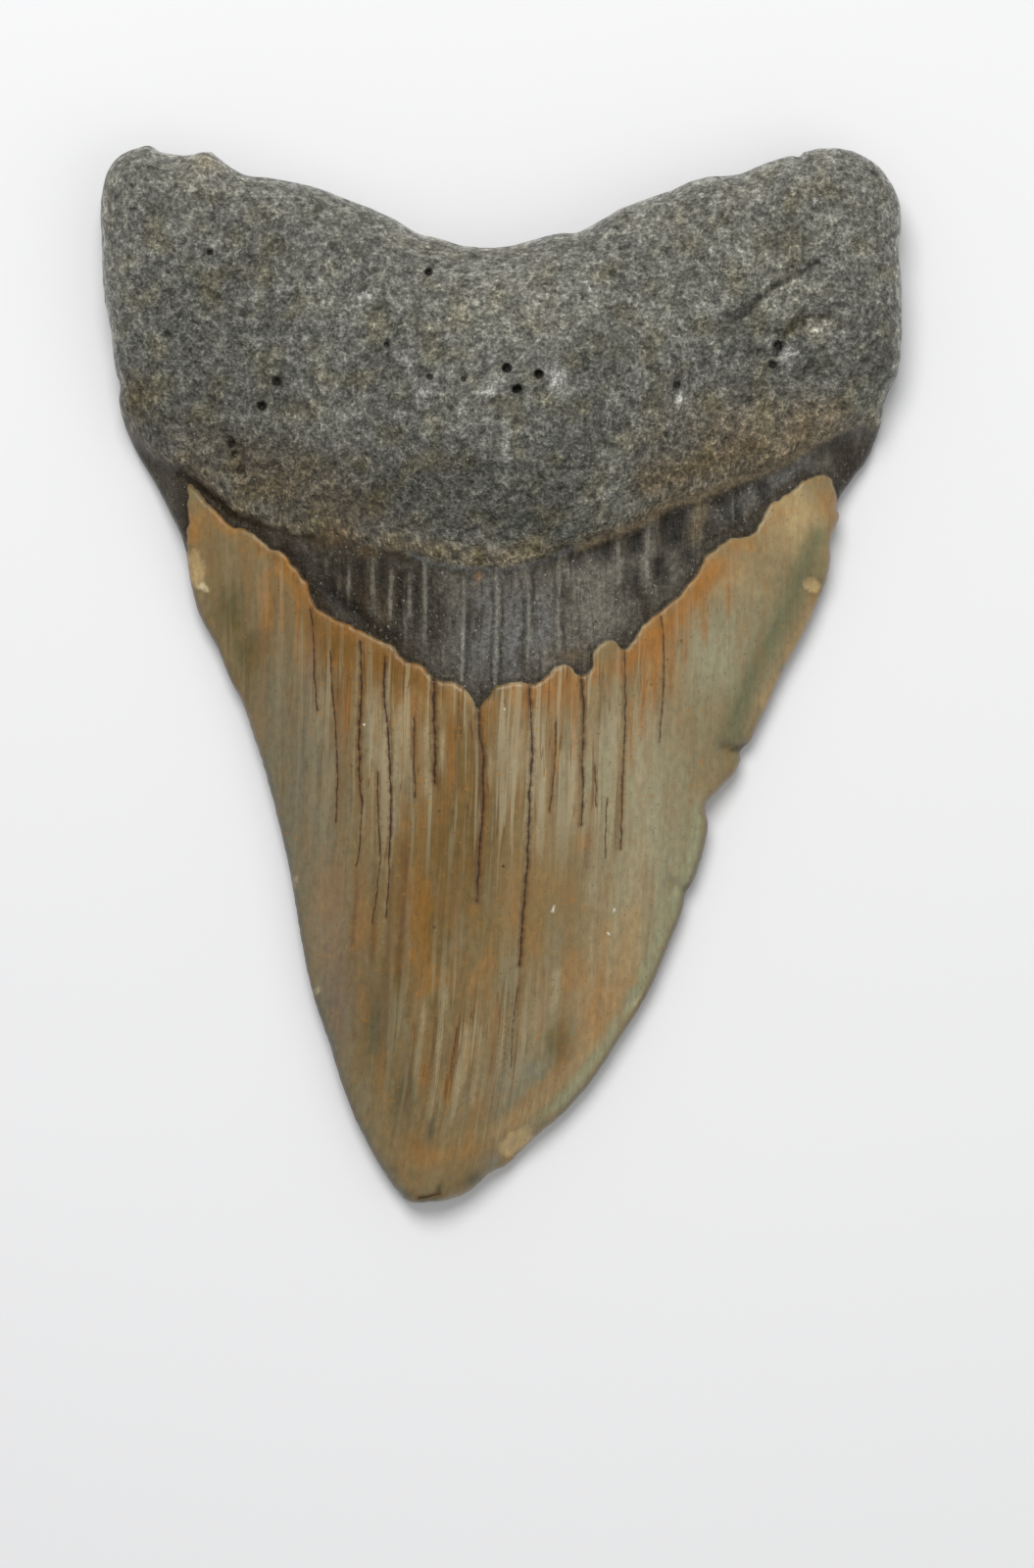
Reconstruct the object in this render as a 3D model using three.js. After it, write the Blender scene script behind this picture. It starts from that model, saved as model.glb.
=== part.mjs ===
// Fossil megalodon tooth, one solid, lying on its flat labial face with the lingual face up.
// Millimetres, +Z up. X runs across the root and the tip points along -Y. The origin is on
// the surface that the tooth rests on, under the middle of its outline.
//
// The tooth is a height field over its outline: an upper face and a lower face that share
// the outline's vertices. Each face is a smooth nominal shape, rounded down to the outline,
// with the relief cut into it: the enamel's ledge, the bourlette, furrows, lumps and pits.

import * as THREE from 'three';
import { ConvexHull } from 'three/addons/math/ConvexHull.js';
import { ImprovedNoise } from 'three/addons/math/ImprovedNoise.js';

const { clamp, degToRad, lerp, smoothstep } = THREE.MathUtils;

// Driving dimensions: the size of the whole tooth
const TOOTH_WIDTH = 64.7;
const TOOTH_LENGTH = 85.5;
const TOOTH_THICKNESS = 16.2;

// Root: thin where it meets the crown's shoulders, thicker at the lobes, swollen in the middle
const SHOULDER_THICKNESS = 4.6;
const LOBE_THICKNESS = 9.7;
const SHOULDER_Y = 13;
const LOBE_Y = 33;
const BULGE = { x: 0.5, y: 16.5, height: 11.4, across: 18, towardsNotch: 12.5, towardsTip: 15 };

// Crown: thin cutting edges that stand a little off the surface, and an arched middle
const EDGE_TOP = 2.3;
const SHOULDER_EDGE_TOP = 3.4;
const EDGE_LIFT = 1.9;
const FLAT_HALF = 0.42;
const ENAMEL_THICKNESS = 0.42;

// Rounding of the rim, from the sharp crown to the thick root
const CROWN_RIM = 0.45;
const ROOT_RIM_ABOVE = 5;
const ROOT_RIM_BELOW = 4;
const RIM_HEIGHT = 0.42;
const RIM_CHANGE = { from: 11, to: 19 };

// Hollow of the labial face between the root's lobes and the crown
const HOLLOW = { y: 12, depth: 0.9, across: 17, along: 13, rim: 0.12 };
const LABIAL_LEDGE = 0.3;
const LABIAL_ENAMEL = { y: 7.5, rise: 7, half: 26 };

// Unevenness of the root: heights and sizes of its swells
const SWELLS = [
  { height: 0.16, size: 3.2, layer: 0 },
  { height: 0.12, size: 1.7, layer: 5 },
];

// Facet sizes. Rings lie at a distance inside the outline, rows at distances beside a line;
// a gap is the least distance between two places.
const OUTLINE_STEP = 0.78;
const LEDGE_STEP = 0.5;
const LIP_STEP = 0.8;
const UPPER_GRID = 1.27;
const LOWER_GRID = 2.2;
const GRID_SHIFT = 0.15;
const GRID_GAP = 0.72;
const GRID_MARGIN = 0.6;
const UPPER_RIM_RING = { distance: 0.32, gap: 0.4 };
const UPPER_INNER_RING = { distance: 1, gap: 0.8 };
const UPPER_ROOT_RINGS = [{ distance: 2.1, gap: 1.05 }, { distance: 3.5, gap: 1.2 }];
const LOWER_RIM_RING = { distance: 0.4, gap: 0.55 };
const LOWER_ROOT_RINGS = [{ distance: 1.3, gap: 1.2 }, { distance: 2.7, gap: 1.6 }];
const PIT_RINGS = [{ reach: 0.55, count: 5 }, { reach: 1.15, count: 8 }];

// Outline, clockwise seen from above, starting where the enamel meets the left edge
const LEFT_FLANK = [
  [-25.9, 11.2], [-26.8, 13.1], [-28, 15.4], [-29.5, 17.9], [-30.5, 20], [-30.9, 22.3],
  [-30.8, 23.3], [-31.2, 24.8], [-31.5, 27.7], [-32, 30.5], [-32.2, 34.4],
];
const LEFT_LOBE = [
  [-32.3, 37.4], [-31.9, 40.2], [-31.2, 41.4], [-30.2, 42.2], [-28.3, 42.7], [-27.3, 42.2],
  [-25.4, 41.9], [-23.4, 42.2], [-22.8, 41.8], [-21.9, 41.1], [-20.6, 40.4],
];
const NOTCH = [
  [-18, 40], [-15.2, 39.4], [-12.1, 38.3], [-8.9, 36.9], [-6.8, 35.7], [-5, 35.2], [-2.4, 34.5],
  [0.3, 34.5], [2.3, 35], [4.6, 35.6], [6.1, 35.7], [7.7, 36.5], [10, 37.8], [13.7, 39.1],
  [15.7, 40], [19.4, 40.5], [21.1, 41.2],
];
const RIGHT_LOBE = [
  [23.4, 41.9], [24, 41.8], [24.4, 42.2], [27.2, 42.5], [29.2, 41.9], [30.8, 40.6], [32, 38.6],
  [32.3, 36.6], [32.1, 34.1], [32.3, 31.8], [32.3, 26],
];
const RIGHT_FLANK = [[32, 24.1], [31.1, 22.1], [30.7, 19.9], [29.8, 17.6], [28.3, 15.6], [27.2, 13.7]];
const RIGHT_CUTTING_EDGE = [
  [27.4, 12.8], [26.7, 10.9], [26.7, 9.4], [26.3, 7.5], [25.5, 5.5], [24.5, 3.3], [22.9, 0.4],
  [22.2, -1.1], [21, -3.7], [20.1, -5.5], [19.4, -6.2], [19.4, -6.9], [18.9, -8], [17.7, -9.3],
  [16.6, -10.6], [16.8, -12.2], [16.6, -13.6], [15.9, -16], [15.4, -17.1], [15, -17.7],
  [14.7, -19.1], [13.4, -22.4], [12, -25.7], [9.9, -29.1], [7.1, -33.3], [4.4, -36.2], [3, -37.3],
  [1.8, -38.5], [0.4, -39.8],
];
const BROKEN_TIP = [[-1, -40.5], [-2.4, -41.8], [-4.1, -42.6], [-5.7, -42.8], [-7.4, -42.8], [-8.3, -42]];
const LEFT_CUTTING_EDGE = [
  [-9.9, -39.7], [-11.5, -36.7], [-12.8, -33.5], [-14, -29.7], [-15.3, -25.8], [-16.2, -21.5],
  [-17.1, -16.1], [-18.1, -11.7], [-19.5, -6.6], [-20.6, -3.3], [-21.1, -1.9], [-21.8, -0.7],
  [-23.1, 2.4], [-24.4, 4.8], [-25.1, 7.2], [-25.5, 9.8],
];

// The two sides without their chips, as [y, x], which the crown's arch spans
const LEFT_SIDE = [
  [-43.5, -7.6], [-36.7, -11.6], [-25.8, -15.4], [-11.7, -18.4], [-1.9, -21.7], [7.2, -25.3],
  [15.4, -28.3], [22, -31], [34, -32.4], [43, -32.4],
];
const RIGHT_SIDE = [
  [-43.5, -4.8], [-39.8, 0.8], [-33.3, 7.4], [-25.7, 12.4], [-16, 16.3], [-9.5, 18.9], [-3.7, 21.3],
  [3.3, 24.8], [9.4, 27.1], [13.7, 28.2], [20, 30.9], [26, 32.4], [43, 32.4],
];

// Height of the crown's arch over its edges, as [y, height]
const ARCH_HEIGHT = [
  [-43.5, 1.2], [-38, 3], [-30, 4.8], [-20, 6.5], [-10, 8], [0, 9.2], [10, 9.9], [20, 10.3],
];

// Broken upper edge of the enamel, from the left edge to the right one
const ENAMEL_LINE = [
  [-26.5, 9.7], [-25.4, 9.9], [-25.3, 10.6], [-25.1, 12.6], [-25, 15.3], [-23.9, 14.1],
  [-22.5, 12.7], [-21.6, 11.8], [-20.4, 11.5], [-19.4, 10.9], [-18.5, 10], [-17.2, 9.5],
  [-16.6, 8.5], [-15.5, 7.2], [-15, 5.6], [-13.5, 4.5], [-11.7, 3.6], [-9.5, 2.5], [-8.6, 2.1],
  [-7.7, 1], [-6.2, 0.5], [-5.4, -0.5], [-3.9, -0.8], [-2.6, -1.6], [-1.9, -2.8], [-1.1, -2.1],
  [-0.2, -1.1], [1.5, -0.8], [2.5, -1], [3.8, -0.2], [4.5, 0.5], [5.3, 0.5], [6.4, -0.3],
  [7.3, 0.3], [7.4, 1.5], [8.2, 2.4], [8.9, 2.5], [9.8, 1.8], [10.5, 2.4], [11.3, 3.7],
  [12.8, 4.9], [14.3, 6.2], [15.6, 7.8], [16.5, 9.3], [18.2, 10.6], [20.1, 11.1], [20.9, 12.2],
  [21.5, 13.4], [22.8, 14.2], [24.4, 15.5], [25.5, 16], [26.4, 15.8], [27, 14.7], [27.3, 13.7],
  [28.3, 13.4],
];

// Lower lip of the root's porous tissue, where it steps down to the bourlette
const STEP_LINE = [
  [-32, 22.3], [-30.7, 21.2], [-28.7, 18.5], [-26.1, 16.6], [-24.8, 16], [-23.2, 14.8],
  [-21.8, 13.4], [-20.2, 12.5], [-17.2, 11.6], [-13.3, 10.8], [-10.2, 10.1], [-7, 9.6],
  [-3.6, 8.3], [0.1, 8.3], [3.2, 8.9], [6.5, 10.4], [9.5, 11.5], [11.6, 12.4], [13.3, 13.4],
  [16.8, 14.8], [19.8, 16.1], [23.8, 17.9], [26.4, 19], [28.6, 19.9], [30.6, 20], [32, 20.6],
];
const STEP_HALF_WIDTH = 0.7;
const STEP_ROWS = { sides: [-STEP_HALF_WIDTH, 0, STEP_HALF_WIDTH], gap: 0.62 };
const LEDGE_ROWS = { sides: [-0.14, 0.2], gap: 0.28 };

// Furrows: a path, half the width and the depth
const FURROWS = [
  { path: [[-25.6, 16.1], [-23.4, 14.3], [-21.5, 12.8], [-19.4, 11.8]], width: 0.5, depth: 0.5 },
  { path: [[-16.1, 11.4], [-14.1, 7.8], [-12.8, 5.8], [-11, 4.5]], width: 0.8, depth: 0.6 },
  { path: [[-14.5, 10.4], [-13.5, 8.8], [-12.4, 7.6]], width: 0.6, depth: 0.4 },
  {
    path: [[3.8, 8], [6.9, 9.5], [10, 10.5], [13.9, 12.3], [17.8, 13.7], [22.5, 15.5]],
    width: 1.3,
    depth: 0.7,
  },
  { path: [[16, 27.6], [19.2, 28.2], [20.8, 29.8], [22.7, 31.5], [24.5, 32.6]], width: 0.7, depth: 0.35 },
  { path: [[22.9, 27.2], [24.2, 28.4], [26.2, 28.5]], width: 0.6, depth: 0.45 },
  { path: [[-21.9, 18.9], [-20.8, 18.1], [-20.6, 16.2]], width: 0.45, depth: 0.5 },
  { path: [[-9.4, 35], [-4.5, 33], [1, 32.4], [6, 33.4], [11, 35.8]], width: 0.8, depth: 0.25 },
  { path: [[20.1, -5.6], [18.9, -5.9], [17.9, -6]], width: 0.45, depth: 0.6 },
  { path: [[15.5, -17.4], [14.6, -17.2], [13.6, -16.9]], width: 0.45, depth: 0.45 },
];

// Lumps (height over 0) and chips (height under 0): an oval with its long axis turned
const LUMPS = [
  { x: -23.4, y: 40.9, long: 1.7, short: 1.4, turn: 0, height: 0.9 },
  { x: -27.5, y: 37, long: 5, short: 4, turn: 60, height: 0.5 },
  { x: 27.5, y: 36.5, long: 5, short: 4, turn: 120, height: 0.5 },
  { x: -21.6, y: 17.3, long: 1.9, short: 1.3, turn: 100, height: 0.6 },
  { x: 25.4, y: 27.2, long: 1.7, short: 1.3, turn: 30, height: 0.5 },
  { x: 22.9, y: 25, long: 1.3, short: 1, turn: 20, height: 0.4 },
  { x: 10, y: 25, long: 6, short: 3.5, turn: 20, height: 0.4 },
  { x: -12, y: 19, long: 5, short: 3, turn: 150, height: 0.35 },
  { x: -24.4, y: 8.6, long: 1.7, short: 0.9, turn: 80, height: -0.5 },
  { x: 25.2, y: 7.1, long: 1, short: 0.8, turn: 0, height: -0.5 },
  { x: 0.9, y: -38.6, long: 2, short: 1.1, turn: 40, height: -0.6 },
  { x: 10.8, y: -26.3, long: 0.9, short: 0.6, turn: 60, height: -0.4 },
];

// Foramina and pits of the root
const PITS = [
  { x: 0.5, y: 23.9, radius: 0.45, depth: 1.5 },
  { x: 3, y: 23.4, radius: 0.45, depth: 1.2 },
  { x: 1.3, y: 22.2, radius: 0.45, depth: 1.5 },
  { x: -5.7, y: 31.8, radius: 0.4, depth: 1 },
  { x: -9, y: 25.9, radius: 0.3, depth: 0.6 },
  { x: -5.5, y: 23.2, radius: 0.25, depth: 0.5 },
  { x: -2.9, y: 23, radius: 0.25, depth: 0.5 },
  { x: -17.8, y: 23.2, radius: 0.5, depth: 0.9 },
  { x: -19, y: 21.3, radius: 0.5, depth: 1 },
  { x: -23.1, y: 33.5, radius: 0.3, depth: 0.6 },
  { x: -26.6, y: 27.1, radius: 0.3, depth: 0.5 },
  { x: 14, y: 22.8, radius: 0.35, depth: 0.8 },
  { x: 22.1, y: 26.1, radius: 0.4, depth: 0.7 },
  { x: 21.6, y: 24.6, radius: 0.35, depth: 0.6 },
];

const ROOT_COLOR = new THREE.Color('#64635a');
const BOURLETTE_COLOR = new THREE.Color('#4a4643');
const ENAMEL_COLOR = new THREE.Color('#8a7450');

// Evenly spaced points of a smooth curve through the listed ones
function curveThrough(points, spacing, closed = false) {
  const knots = points.map(([x, y]) => new THREE.Vector3(x, y, 0));
  const curve = new THREE.CatmullRomCurve3(knots, closed, 'centripetal');
  const spaced = curve.getSpacedPoints(Math.round(curve.getLength() / spacing));
  return (closed ? spaced.slice(0, -1) : spaced).map((point) => [point.x, point.y]);
}

// Distance from a place to a line of points
function distanceTo(line, closed, x, y) {
  let nearest = Infinity;
  const segments = closed ? line.length : line.length - 1;
  for (let index = 0; index < segments; index += 1) {
    const [ax, ay] = line[index];
    const [bx, by] = line[(index + 1) % line.length];
    const alongX = bx - ax;
    const alongY = by - ay;
    const share = ((x - ax) * alongX + (y - ay) * alongY) / (alongX * alongX + alongY * alongY);
    const held = clamp(share, 0, 1);
    nearest = Math.min(nearest, Math.hypot(x - ax - held * alongX, y - ay - held * alongY));
  }
  return nearest;
}

// Whether a place is inside a closed line of points
function isInside(line, x, y) {
  let inside = false;
  line.forEach(([ax, ay], index) => {
    const [bx, by] = line[(index + 1) % line.length];
    const crosses = (ay > y) !== (by > y) && x < ax + ((bx - ax) * (y - ay)) / (by - ay);
    inside = crosses ? !inside : inside;
  });
  return inside;
}

// Smooth value at y of a table of [y, value]: a cubic through the entries
function valueAt(table, y) {
  const last = table.length - 1;
  const held = clamp(y, table[0][0], table[last][0]);
  const index = clamp(table.filter(([entry]) => entry <= held).length - 1, 0, last - 1);
  const slope = (at) => {
    const before = table[Math.max(at - 1, 0)];
    const after = table[Math.min(at + 1, last)];
    return (after[1] - before[1]) / (after[0] - before[0]);
  };
  const [y0, v0] = table[index];
  const [y1, v1] = table[index + 1];
  const step = y1 - y0;
  const t = (held - y0) / step;
  const rise = v1 - v0;
  const bend0 = slope(index) * step - rise;
  const bend1 = rise - slope(index + 1) * step;
  return v0 + t * rise + t * (1 - t) * ((1 - t) * bend0 + t * bend1);
}

const outline = curveThrough(
  [
    ...LEFT_FLANK, ...LEFT_LOBE, ...NOTCH, ...RIGHT_LOBE, ...RIGHT_FLANK,
    ...RIGHT_CUTTING_EDGE, ...BROKEN_TIP, ...LEFT_CUTTING_EDGE,
  ],
  OUTLINE_STEP,
  true,
);
const FAR = 100;
const enamelLine = curveThrough(ENAMEL_LINE, LEDGE_STEP);
const crownRegion = [...enamelLine, [FAR, 0], [FAR, -FAR], [-FAR, -FAR], [-FAR, 0]];
const stepLine = curveThrough(STEP_LINE, LIP_STEP);
const rootRegion = [...stepLine, [FAR, FAR], [-FAR, FAR]];
const furrows = FURROWS.map((furrow) => ({
  ...furrow,
  line: curveThrough(furrow.path, LEDGE_STEP),
}));
const noise = new ImprovedNoise();

// Distance into the enamel, and into the porous root; negative outside them
function enamelDepth(x, y) {
  const distance = distanceTo(enamelLine, false, x, y);
  return isInside(crownRegion, x, y) ? distance : -distance;
}

function rootDepth(x, y) {
  const distance = distanceTo(stepLine, false, x, y);
  return isInside(rootRegion, x, y) ? distance : -distance;
}

// Place across the tooth, from -1 at the left side to 1 at the right one
function across(x, y) {
  const left = valueAt(LEFT_SIDE, y);
  const right = valueAt(RIGHT_SIDE, y);
  return clamp((2 * x - left - right) / (right - left), -1, 1);
}

// Arch of the crown: full in the middle, drawn out thin towards the cutting edges
function arch(u) {
  const dome = 1 - Math.abs(u) ** 2.1;
  const bell = Math.cos((u * Math.PI) / 2) ** 2;
  return 0.75 * dome + 0.25 * bell;
}

function crownSurface(x, y) {
  const edge = lerp(EDGE_TOP, SHOULDER_EDGE_TOP, smoothstep(y, 0, SHOULDER_Y));
  const bare = ENAMEL_THICKNESS * (1 - smoothstep(enamelDepth(x, y), -0.12, 0.2));
  return edge + valueAt(ARCH_HEIGHT, y) * arch(across(x, y)) - bare;
}

function rootSurface(x, y) {
  const flank = lerp(SHOULDER_THICKNESS, LOBE_THICKNESS, smoothstep(y, SHOULDER_Y, LOBE_Y));
  const reach = y > BULGE.y ? BULGE.towardsNotch : BULGE.towardsTip;
  const away = ((x - BULGE.x) / BULGE.across) ** 2 + ((y - BULGE.y) / reach) ** 2;
  const swell = SWELLS.reduce((sum, { height, size, layer }) => {
    return sum + height * noise.noise(x / size, y / size, layer);
  }, 0);
  return flank + BULGE.height * Math.exp(-away) + swell;
}

function furrowDepth(x, y) {
  return furrows.reduce((depth, { line, width, depth: full }) => {
    return depth + full * Math.exp(-((distanceTo(line, false, x, y) / width) ** 2));
  }, 0);
}

function lumpHeight(x, y) {
  return LUMPS.reduce((height, lump) => {
    const turn = degToRad(lump.turn);
    const along = (x - lump.x) * Math.cos(turn) + (y - lump.y) * Math.sin(turn);
    const aside = (y - lump.y) * Math.cos(turn) - (x - lump.x) * Math.sin(turn);
    return height + lump.height * Math.exp(-((along / lump.long) ** 2) - (aside / lump.short) ** 2);
  }, 0);
}

function pitDepth(x, y) {
  return PITS.reduce((depth, pit) => {
    const away = Math.hypot(x - pit.x, y - pit.y) / pit.radius;
    return depth + pit.depth * (1 - smoothstep(away, 0.5, 1.2));
  }, 0);
}

// Upper face before its rim is rounded
function upperNominal(x, y) {
  const rootShare = smoothstep(rootDepth(x, y), -STEP_HALF_WIDTH, STEP_HALF_WIDTH);
  const body = lerp(crownSurface(x, y), rootSurface(x, y), rootShare);
  return body - furrowDepth(x, y) + lumpHeight(x, y);
}

// Lower face before its rim is rounded: flat where it rests, hollow in the middle
function lowerNominal(x, y) {
  const away = (x / HOLLOW.across) ** 2 + ((y - HOLLOW.y) / HOLLOW.along) ** 2;
  const hollow = Math.max(0, HOLLOW.depth * Math.exp(-away) - HOLLOW.rim);
  const ledgeY = LABIAL_ENAMEL.y + LABIAL_ENAMEL.rise * (x / LABIAL_ENAMEL.half) ** 2;
  const ledge = LABIAL_LEDGE * smoothstep(y - ledgeY, -0.4, 0.4) * smoothstep(hollow, 0, 0.3);
  const span = 1.25;
  const rise = smoothstep(Math.abs(across(x, y)), FLAT_HALF, span) / smoothstep(1, FLAT_HALF, span);
  return hollow + ledge + EDGE_LIFT * rise * (1 - rootRim(y));
}

// Share of the root's thick rim, against the crown's sharp one
function rootRim(y) {
  return smoothstep(y, RIM_CHANGE.from, RIM_CHANGE.to);
}

function rounding(distance, radius) {
  return Math.sqrt(1 - (1 - clamp(distance / radius, 0, 1)) ** 2);
}

function rimHeight(x, y) {
  return lerp(lowerNominal(x, y), upperNominal(x, y), RIM_HEIGHT);
}

function upperHeight(x, y) {
  const radius = lerp(CROWN_RIM, ROOT_RIM_ABOVE, rootRim(y));
  const round = rounding(distanceTo(outline, true, x, y), radius);
  return lerp(rimHeight(x, y), upperNominal(x, y), round) - pitDepth(x, y);
}

function lowerHeight(x, y) {
  const radius = lerp(CROWN_RIM, ROOT_RIM_BELOW, rootRim(y));
  const round = rounding(distanceTo(outline, true, x, y), radius);
  return lerp(rimHeight(x, y), lowerNominal(x, y), round);
}

// A set of places in the plan that keeps a least gap between them
class Places {
  constructor() {
    this.list = [...outline];
  }

  add(x, y, gap) {
    if (this.list.every(([ax, ay]) => Math.hypot(x - ax, y - ay) >= gap)) {
      this.list.push([x, y]);
    }
  }

  // A ring at one distance inside the outline
  addRing({ distance, gap }, keep = () => true) {
    outline.forEach(([x, y], index) => {
      const [ax, ay] = outline.at(index - 1);
      const [bx, by] = outline[(index + 1) % outline.length];
      const length = Math.hypot(bx - ax, by - ay);
      const px = x + (distance * (by - ay)) / length;
      const py = y - (distance * (bx - ax)) / length;
      const far = distanceTo(outline, true, px, py) > 0.85 * distance;
      if (far && isInside(outline, px, py) && keep(px, py)) {
        this.add(px, py, gap);
      }
    });
  }

  // Rows of places along a line, each at one distance to its left
  addRows(line, { sides, gap }) {
    line.slice(1, -1).forEach(([x, y], index) => {
      const [ax, ay] = line[index];
      const [bx, by] = line[index + 2];
      const length = Math.hypot(bx - ax, by - ay);
      sides.forEach((side) => {
        const px = x - (side * (by - ay)) / length;
        const py = y + (side * (bx - ax)) / length;
        if (isInside(outline, px, py) && distanceTo(outline, true, px, py) > 0.3) {
          this.add(px, py, gap);
        }
      });
    });
  }

  addPit({ x, y, radius }) {
    this.list.push([x, y]);
    PIT_RINGS.forEach(({ reach, count }) => {
      for (let index = 0; index < count; index += 1) {
        const turn = (2 * Math.PI * index) / count;
        this.list.push([x + reach * radius * Math.cos(turn), y + reach * radius * Math.sin(turn)]);
      }
    });
  }

  // Staggered rows over the whole outline, each place moved a little off its row
  addGrid(spacing) {
    const rowHeight = (spacing * Math.sqrt(3)) / 2;
    for (let row = 0; row * rowHeight < TOOTH_LENGTH; row += 1) {
      for (let column = 0; column * spacing < TOOTH_WIDTH; column += 1) {
        const rowX = (column + (row % 2) / 2) * spacing - TOOTH_WIDTH / 2;
        const rowY = row * rowHeight - TOOTH_LENGTH / 2;
        const x = rowX + GRID_SHIFT * spacing * Math.sin(7.3 * row + 3.1 * column);
        const y = rowY + GRID_SHIFT * spacing * Math.cos(4.7 * row + 5.9 * column);
        const margin = GRID_MARGIN * spacing;
        if (isInside(outline, x, y) && distanceTo(outline, true, x, y) > margin) {
          this.add(x, y, GRID_GAP * spacing);
        }
      }
    }
  }
}

// Triangles between the places, counter-clockwise seen from above. Lifted onto a
// paraboloid, the places' lower hull is their Delaunay triangulation.
function triangulate(places) {
  const lifted = places.map(([x, y]) => new THREE.Vector3(x, y, (x * x + y * y) / TOOTH_LENGTH));
  const number = new Map(lifted.map((point, index) => [point, index]));
  const hull = new ConvexHull().setFromPoints(lifted);
  const triangles = [];
  hull.faces.forEach((face) => {
    if (face.normal.z >= 0) {
      return;
    }
    const first = face.getEdge(0);
    const corners = [first, first.prev, first.next].map((edge) => number.get(edge.head().point));
    const middleX = corners.reduce((sum, corner) => sum + places[corner][0], 0) / 3;
    const middleY = corners.reduce((sum, corner) => sum + places[corner][1], 0) / 3;
    if (isInside(outline, middleX, middleY)) {
      triangles.push(corners);
    }
  });
  return triangles;
}

function upperPlaces() {
  const places = new Places();
  const onRoot = (x, y) => rootRim(y) > 0.5;
  PITS.forEach((pit) => places.addPit(pit));
  places.addRing(UPPER_RIM_RING);
  places.addRows(enamelLine, LEDGE_ROWS);
  places.addRows(stepLine, STEP_ROWS);
  places.addRing(UPPER_INNER_RING);
  UPPER_ROOT_RINGS.forEach((ring) => places.addRing(ring, onRoot));
  furrows.forEach(({ line, width }) => {
    line.filter(([x, y]) => isInside(outline, x, y)).forEach(([x, y]) => places.add(x, y, width));
  });
  places.addGrid(UPPER_GRID);
  return places.list;
}

function lowerPlaces() {
  const places = new Places();
  const onRoot = (x, y) => rootRim(y) > 0.3;
  places.addRing(LOWER_RIM_RING);
  LOWER_ROOT_RINGS.forEach((ring) => places.addRing(ring, onRoot));
  places.addGrid(LOWER_GRID);
  return places.list;
}

function colorAt(x, y) {
  const bare = rootDepth(x, y) > 0 ? ROOT_COLOR : BOURLETTE_COLOR;
  return enamelDepth(x, y) > 0 ? ENAMEL_COLOR : bare;
}

// Moves and scales the drawn tooth to its driving dimensions, resting on z = 0
function fitToSize(geometry) {
  geometry.computeBoundingBox();
  const { min, max } = geometry.boundingBox;
  geometry.translate(-(min.x + max.x) / 2, -(min.y + max.y) / 2, -min.z);
  geometry.scale(
    TOOTH_WIDTH / (max.x - min.x),
    TOOTH_LENGTH / (max.y - min.y),
    TOOTH_THICKNESS / (max.z - min.z),
  );
  return geometry;
}

function toothGeometry() {
  const upper = upperPlaces();
  const lower = lowerPlaces();
  const shared = outline.length;
  const vertices = upper.map(([x, y]) => [x, y, upperHeight(x, y)]);
  lower.slice(shared).forEach(([x, y]) => vertices.push([x, y, lowerHeight(x, y)]));
  const lowerNumber = (corner) => (corner < shared ? corner : corner - shared + upper.length);
  const faces = triangulate(upper);
  triangulate(lower).forEach(([a, b, c]) => faces.push([a, c, b].map(lowerNumber)));

  const geometry = new THREE.BufferGeometry();
  const colors = vertices.flatMap(([x, y]) => colorAt(x, y).toArray());
  geometry.setAttribute('position', new THREE.Float32BufferAttribute(vertices.flat(), 3));
  geometry.setAttribute('color', new THREE.Float32BufferAttribute(colors, 3));
  geometry.setIndex(faces.flat());
  fitToSize(geometry);
  geometry.computeVertexNormals();
  return geometry;
}

const toothMaterial = new THREE.MeshStandardMaterial({
  color: 0xffffff,
  vertexColors: true,
  roughness: 0.62,
  metalness: 0,
});

const tooth = new THREE.Mesh(toothGeometry(), toothMaterial);
tooth.name = 'tooth';

const part = new THREE.Group();
part.add(tooth);

export default part;
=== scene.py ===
"""Fossil megalodon tooth, lying on its flat labial face with the lingual face up.

Shapes are drawn in millimetres in the part's frame and set down in metres. X runs across the
root, the tip points along -Y and Z is up. The tooth is a height field over its outline: an
upper and a lower face that share the outline's vertices.
"""

import math

import bpy
import numpy as np
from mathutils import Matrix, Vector, kdtree, noise
from mathutils.geometry import delaunay_2d_cdt


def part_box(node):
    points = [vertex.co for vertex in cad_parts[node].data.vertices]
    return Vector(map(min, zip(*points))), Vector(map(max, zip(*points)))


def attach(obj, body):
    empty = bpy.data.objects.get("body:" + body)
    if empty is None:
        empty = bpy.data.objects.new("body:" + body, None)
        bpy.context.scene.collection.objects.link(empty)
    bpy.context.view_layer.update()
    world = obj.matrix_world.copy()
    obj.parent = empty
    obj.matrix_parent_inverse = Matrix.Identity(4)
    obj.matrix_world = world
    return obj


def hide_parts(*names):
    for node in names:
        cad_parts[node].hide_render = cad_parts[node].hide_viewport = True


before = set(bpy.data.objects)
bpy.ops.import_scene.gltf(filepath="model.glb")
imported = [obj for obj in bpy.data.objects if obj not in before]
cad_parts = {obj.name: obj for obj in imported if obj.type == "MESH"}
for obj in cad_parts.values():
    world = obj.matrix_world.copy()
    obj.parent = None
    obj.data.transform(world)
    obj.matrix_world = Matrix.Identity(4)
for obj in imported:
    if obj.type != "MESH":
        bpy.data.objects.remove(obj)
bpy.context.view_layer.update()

MM = 0.001
SEED = 11

# Root: thin where it meets the crown's shoulders, thicker at the lobes, swollen in the middle
SHOULDER_THICKNESS = 4.6
LOBE_THICKNESS = 9.7
SHOULDER_Y = 13
LOBE_Y = 33
BULGE = {"x": 0.5, "y": 16.5, "height": 11.4, "across": 18, "to_notch": 12.5, "to_tip": 15}

# Crown: thin cutting edges that stand a little off the surface, and an arched middle
EDGE_TOP = 2.3
SHOULDER_EDGE_TOP = 3.4
EDGE_LIFT = 1.9
FLAT_TO_EDGE = (0.42, 1.25)
ENAMEL_THICKNESS = 0.42

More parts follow.
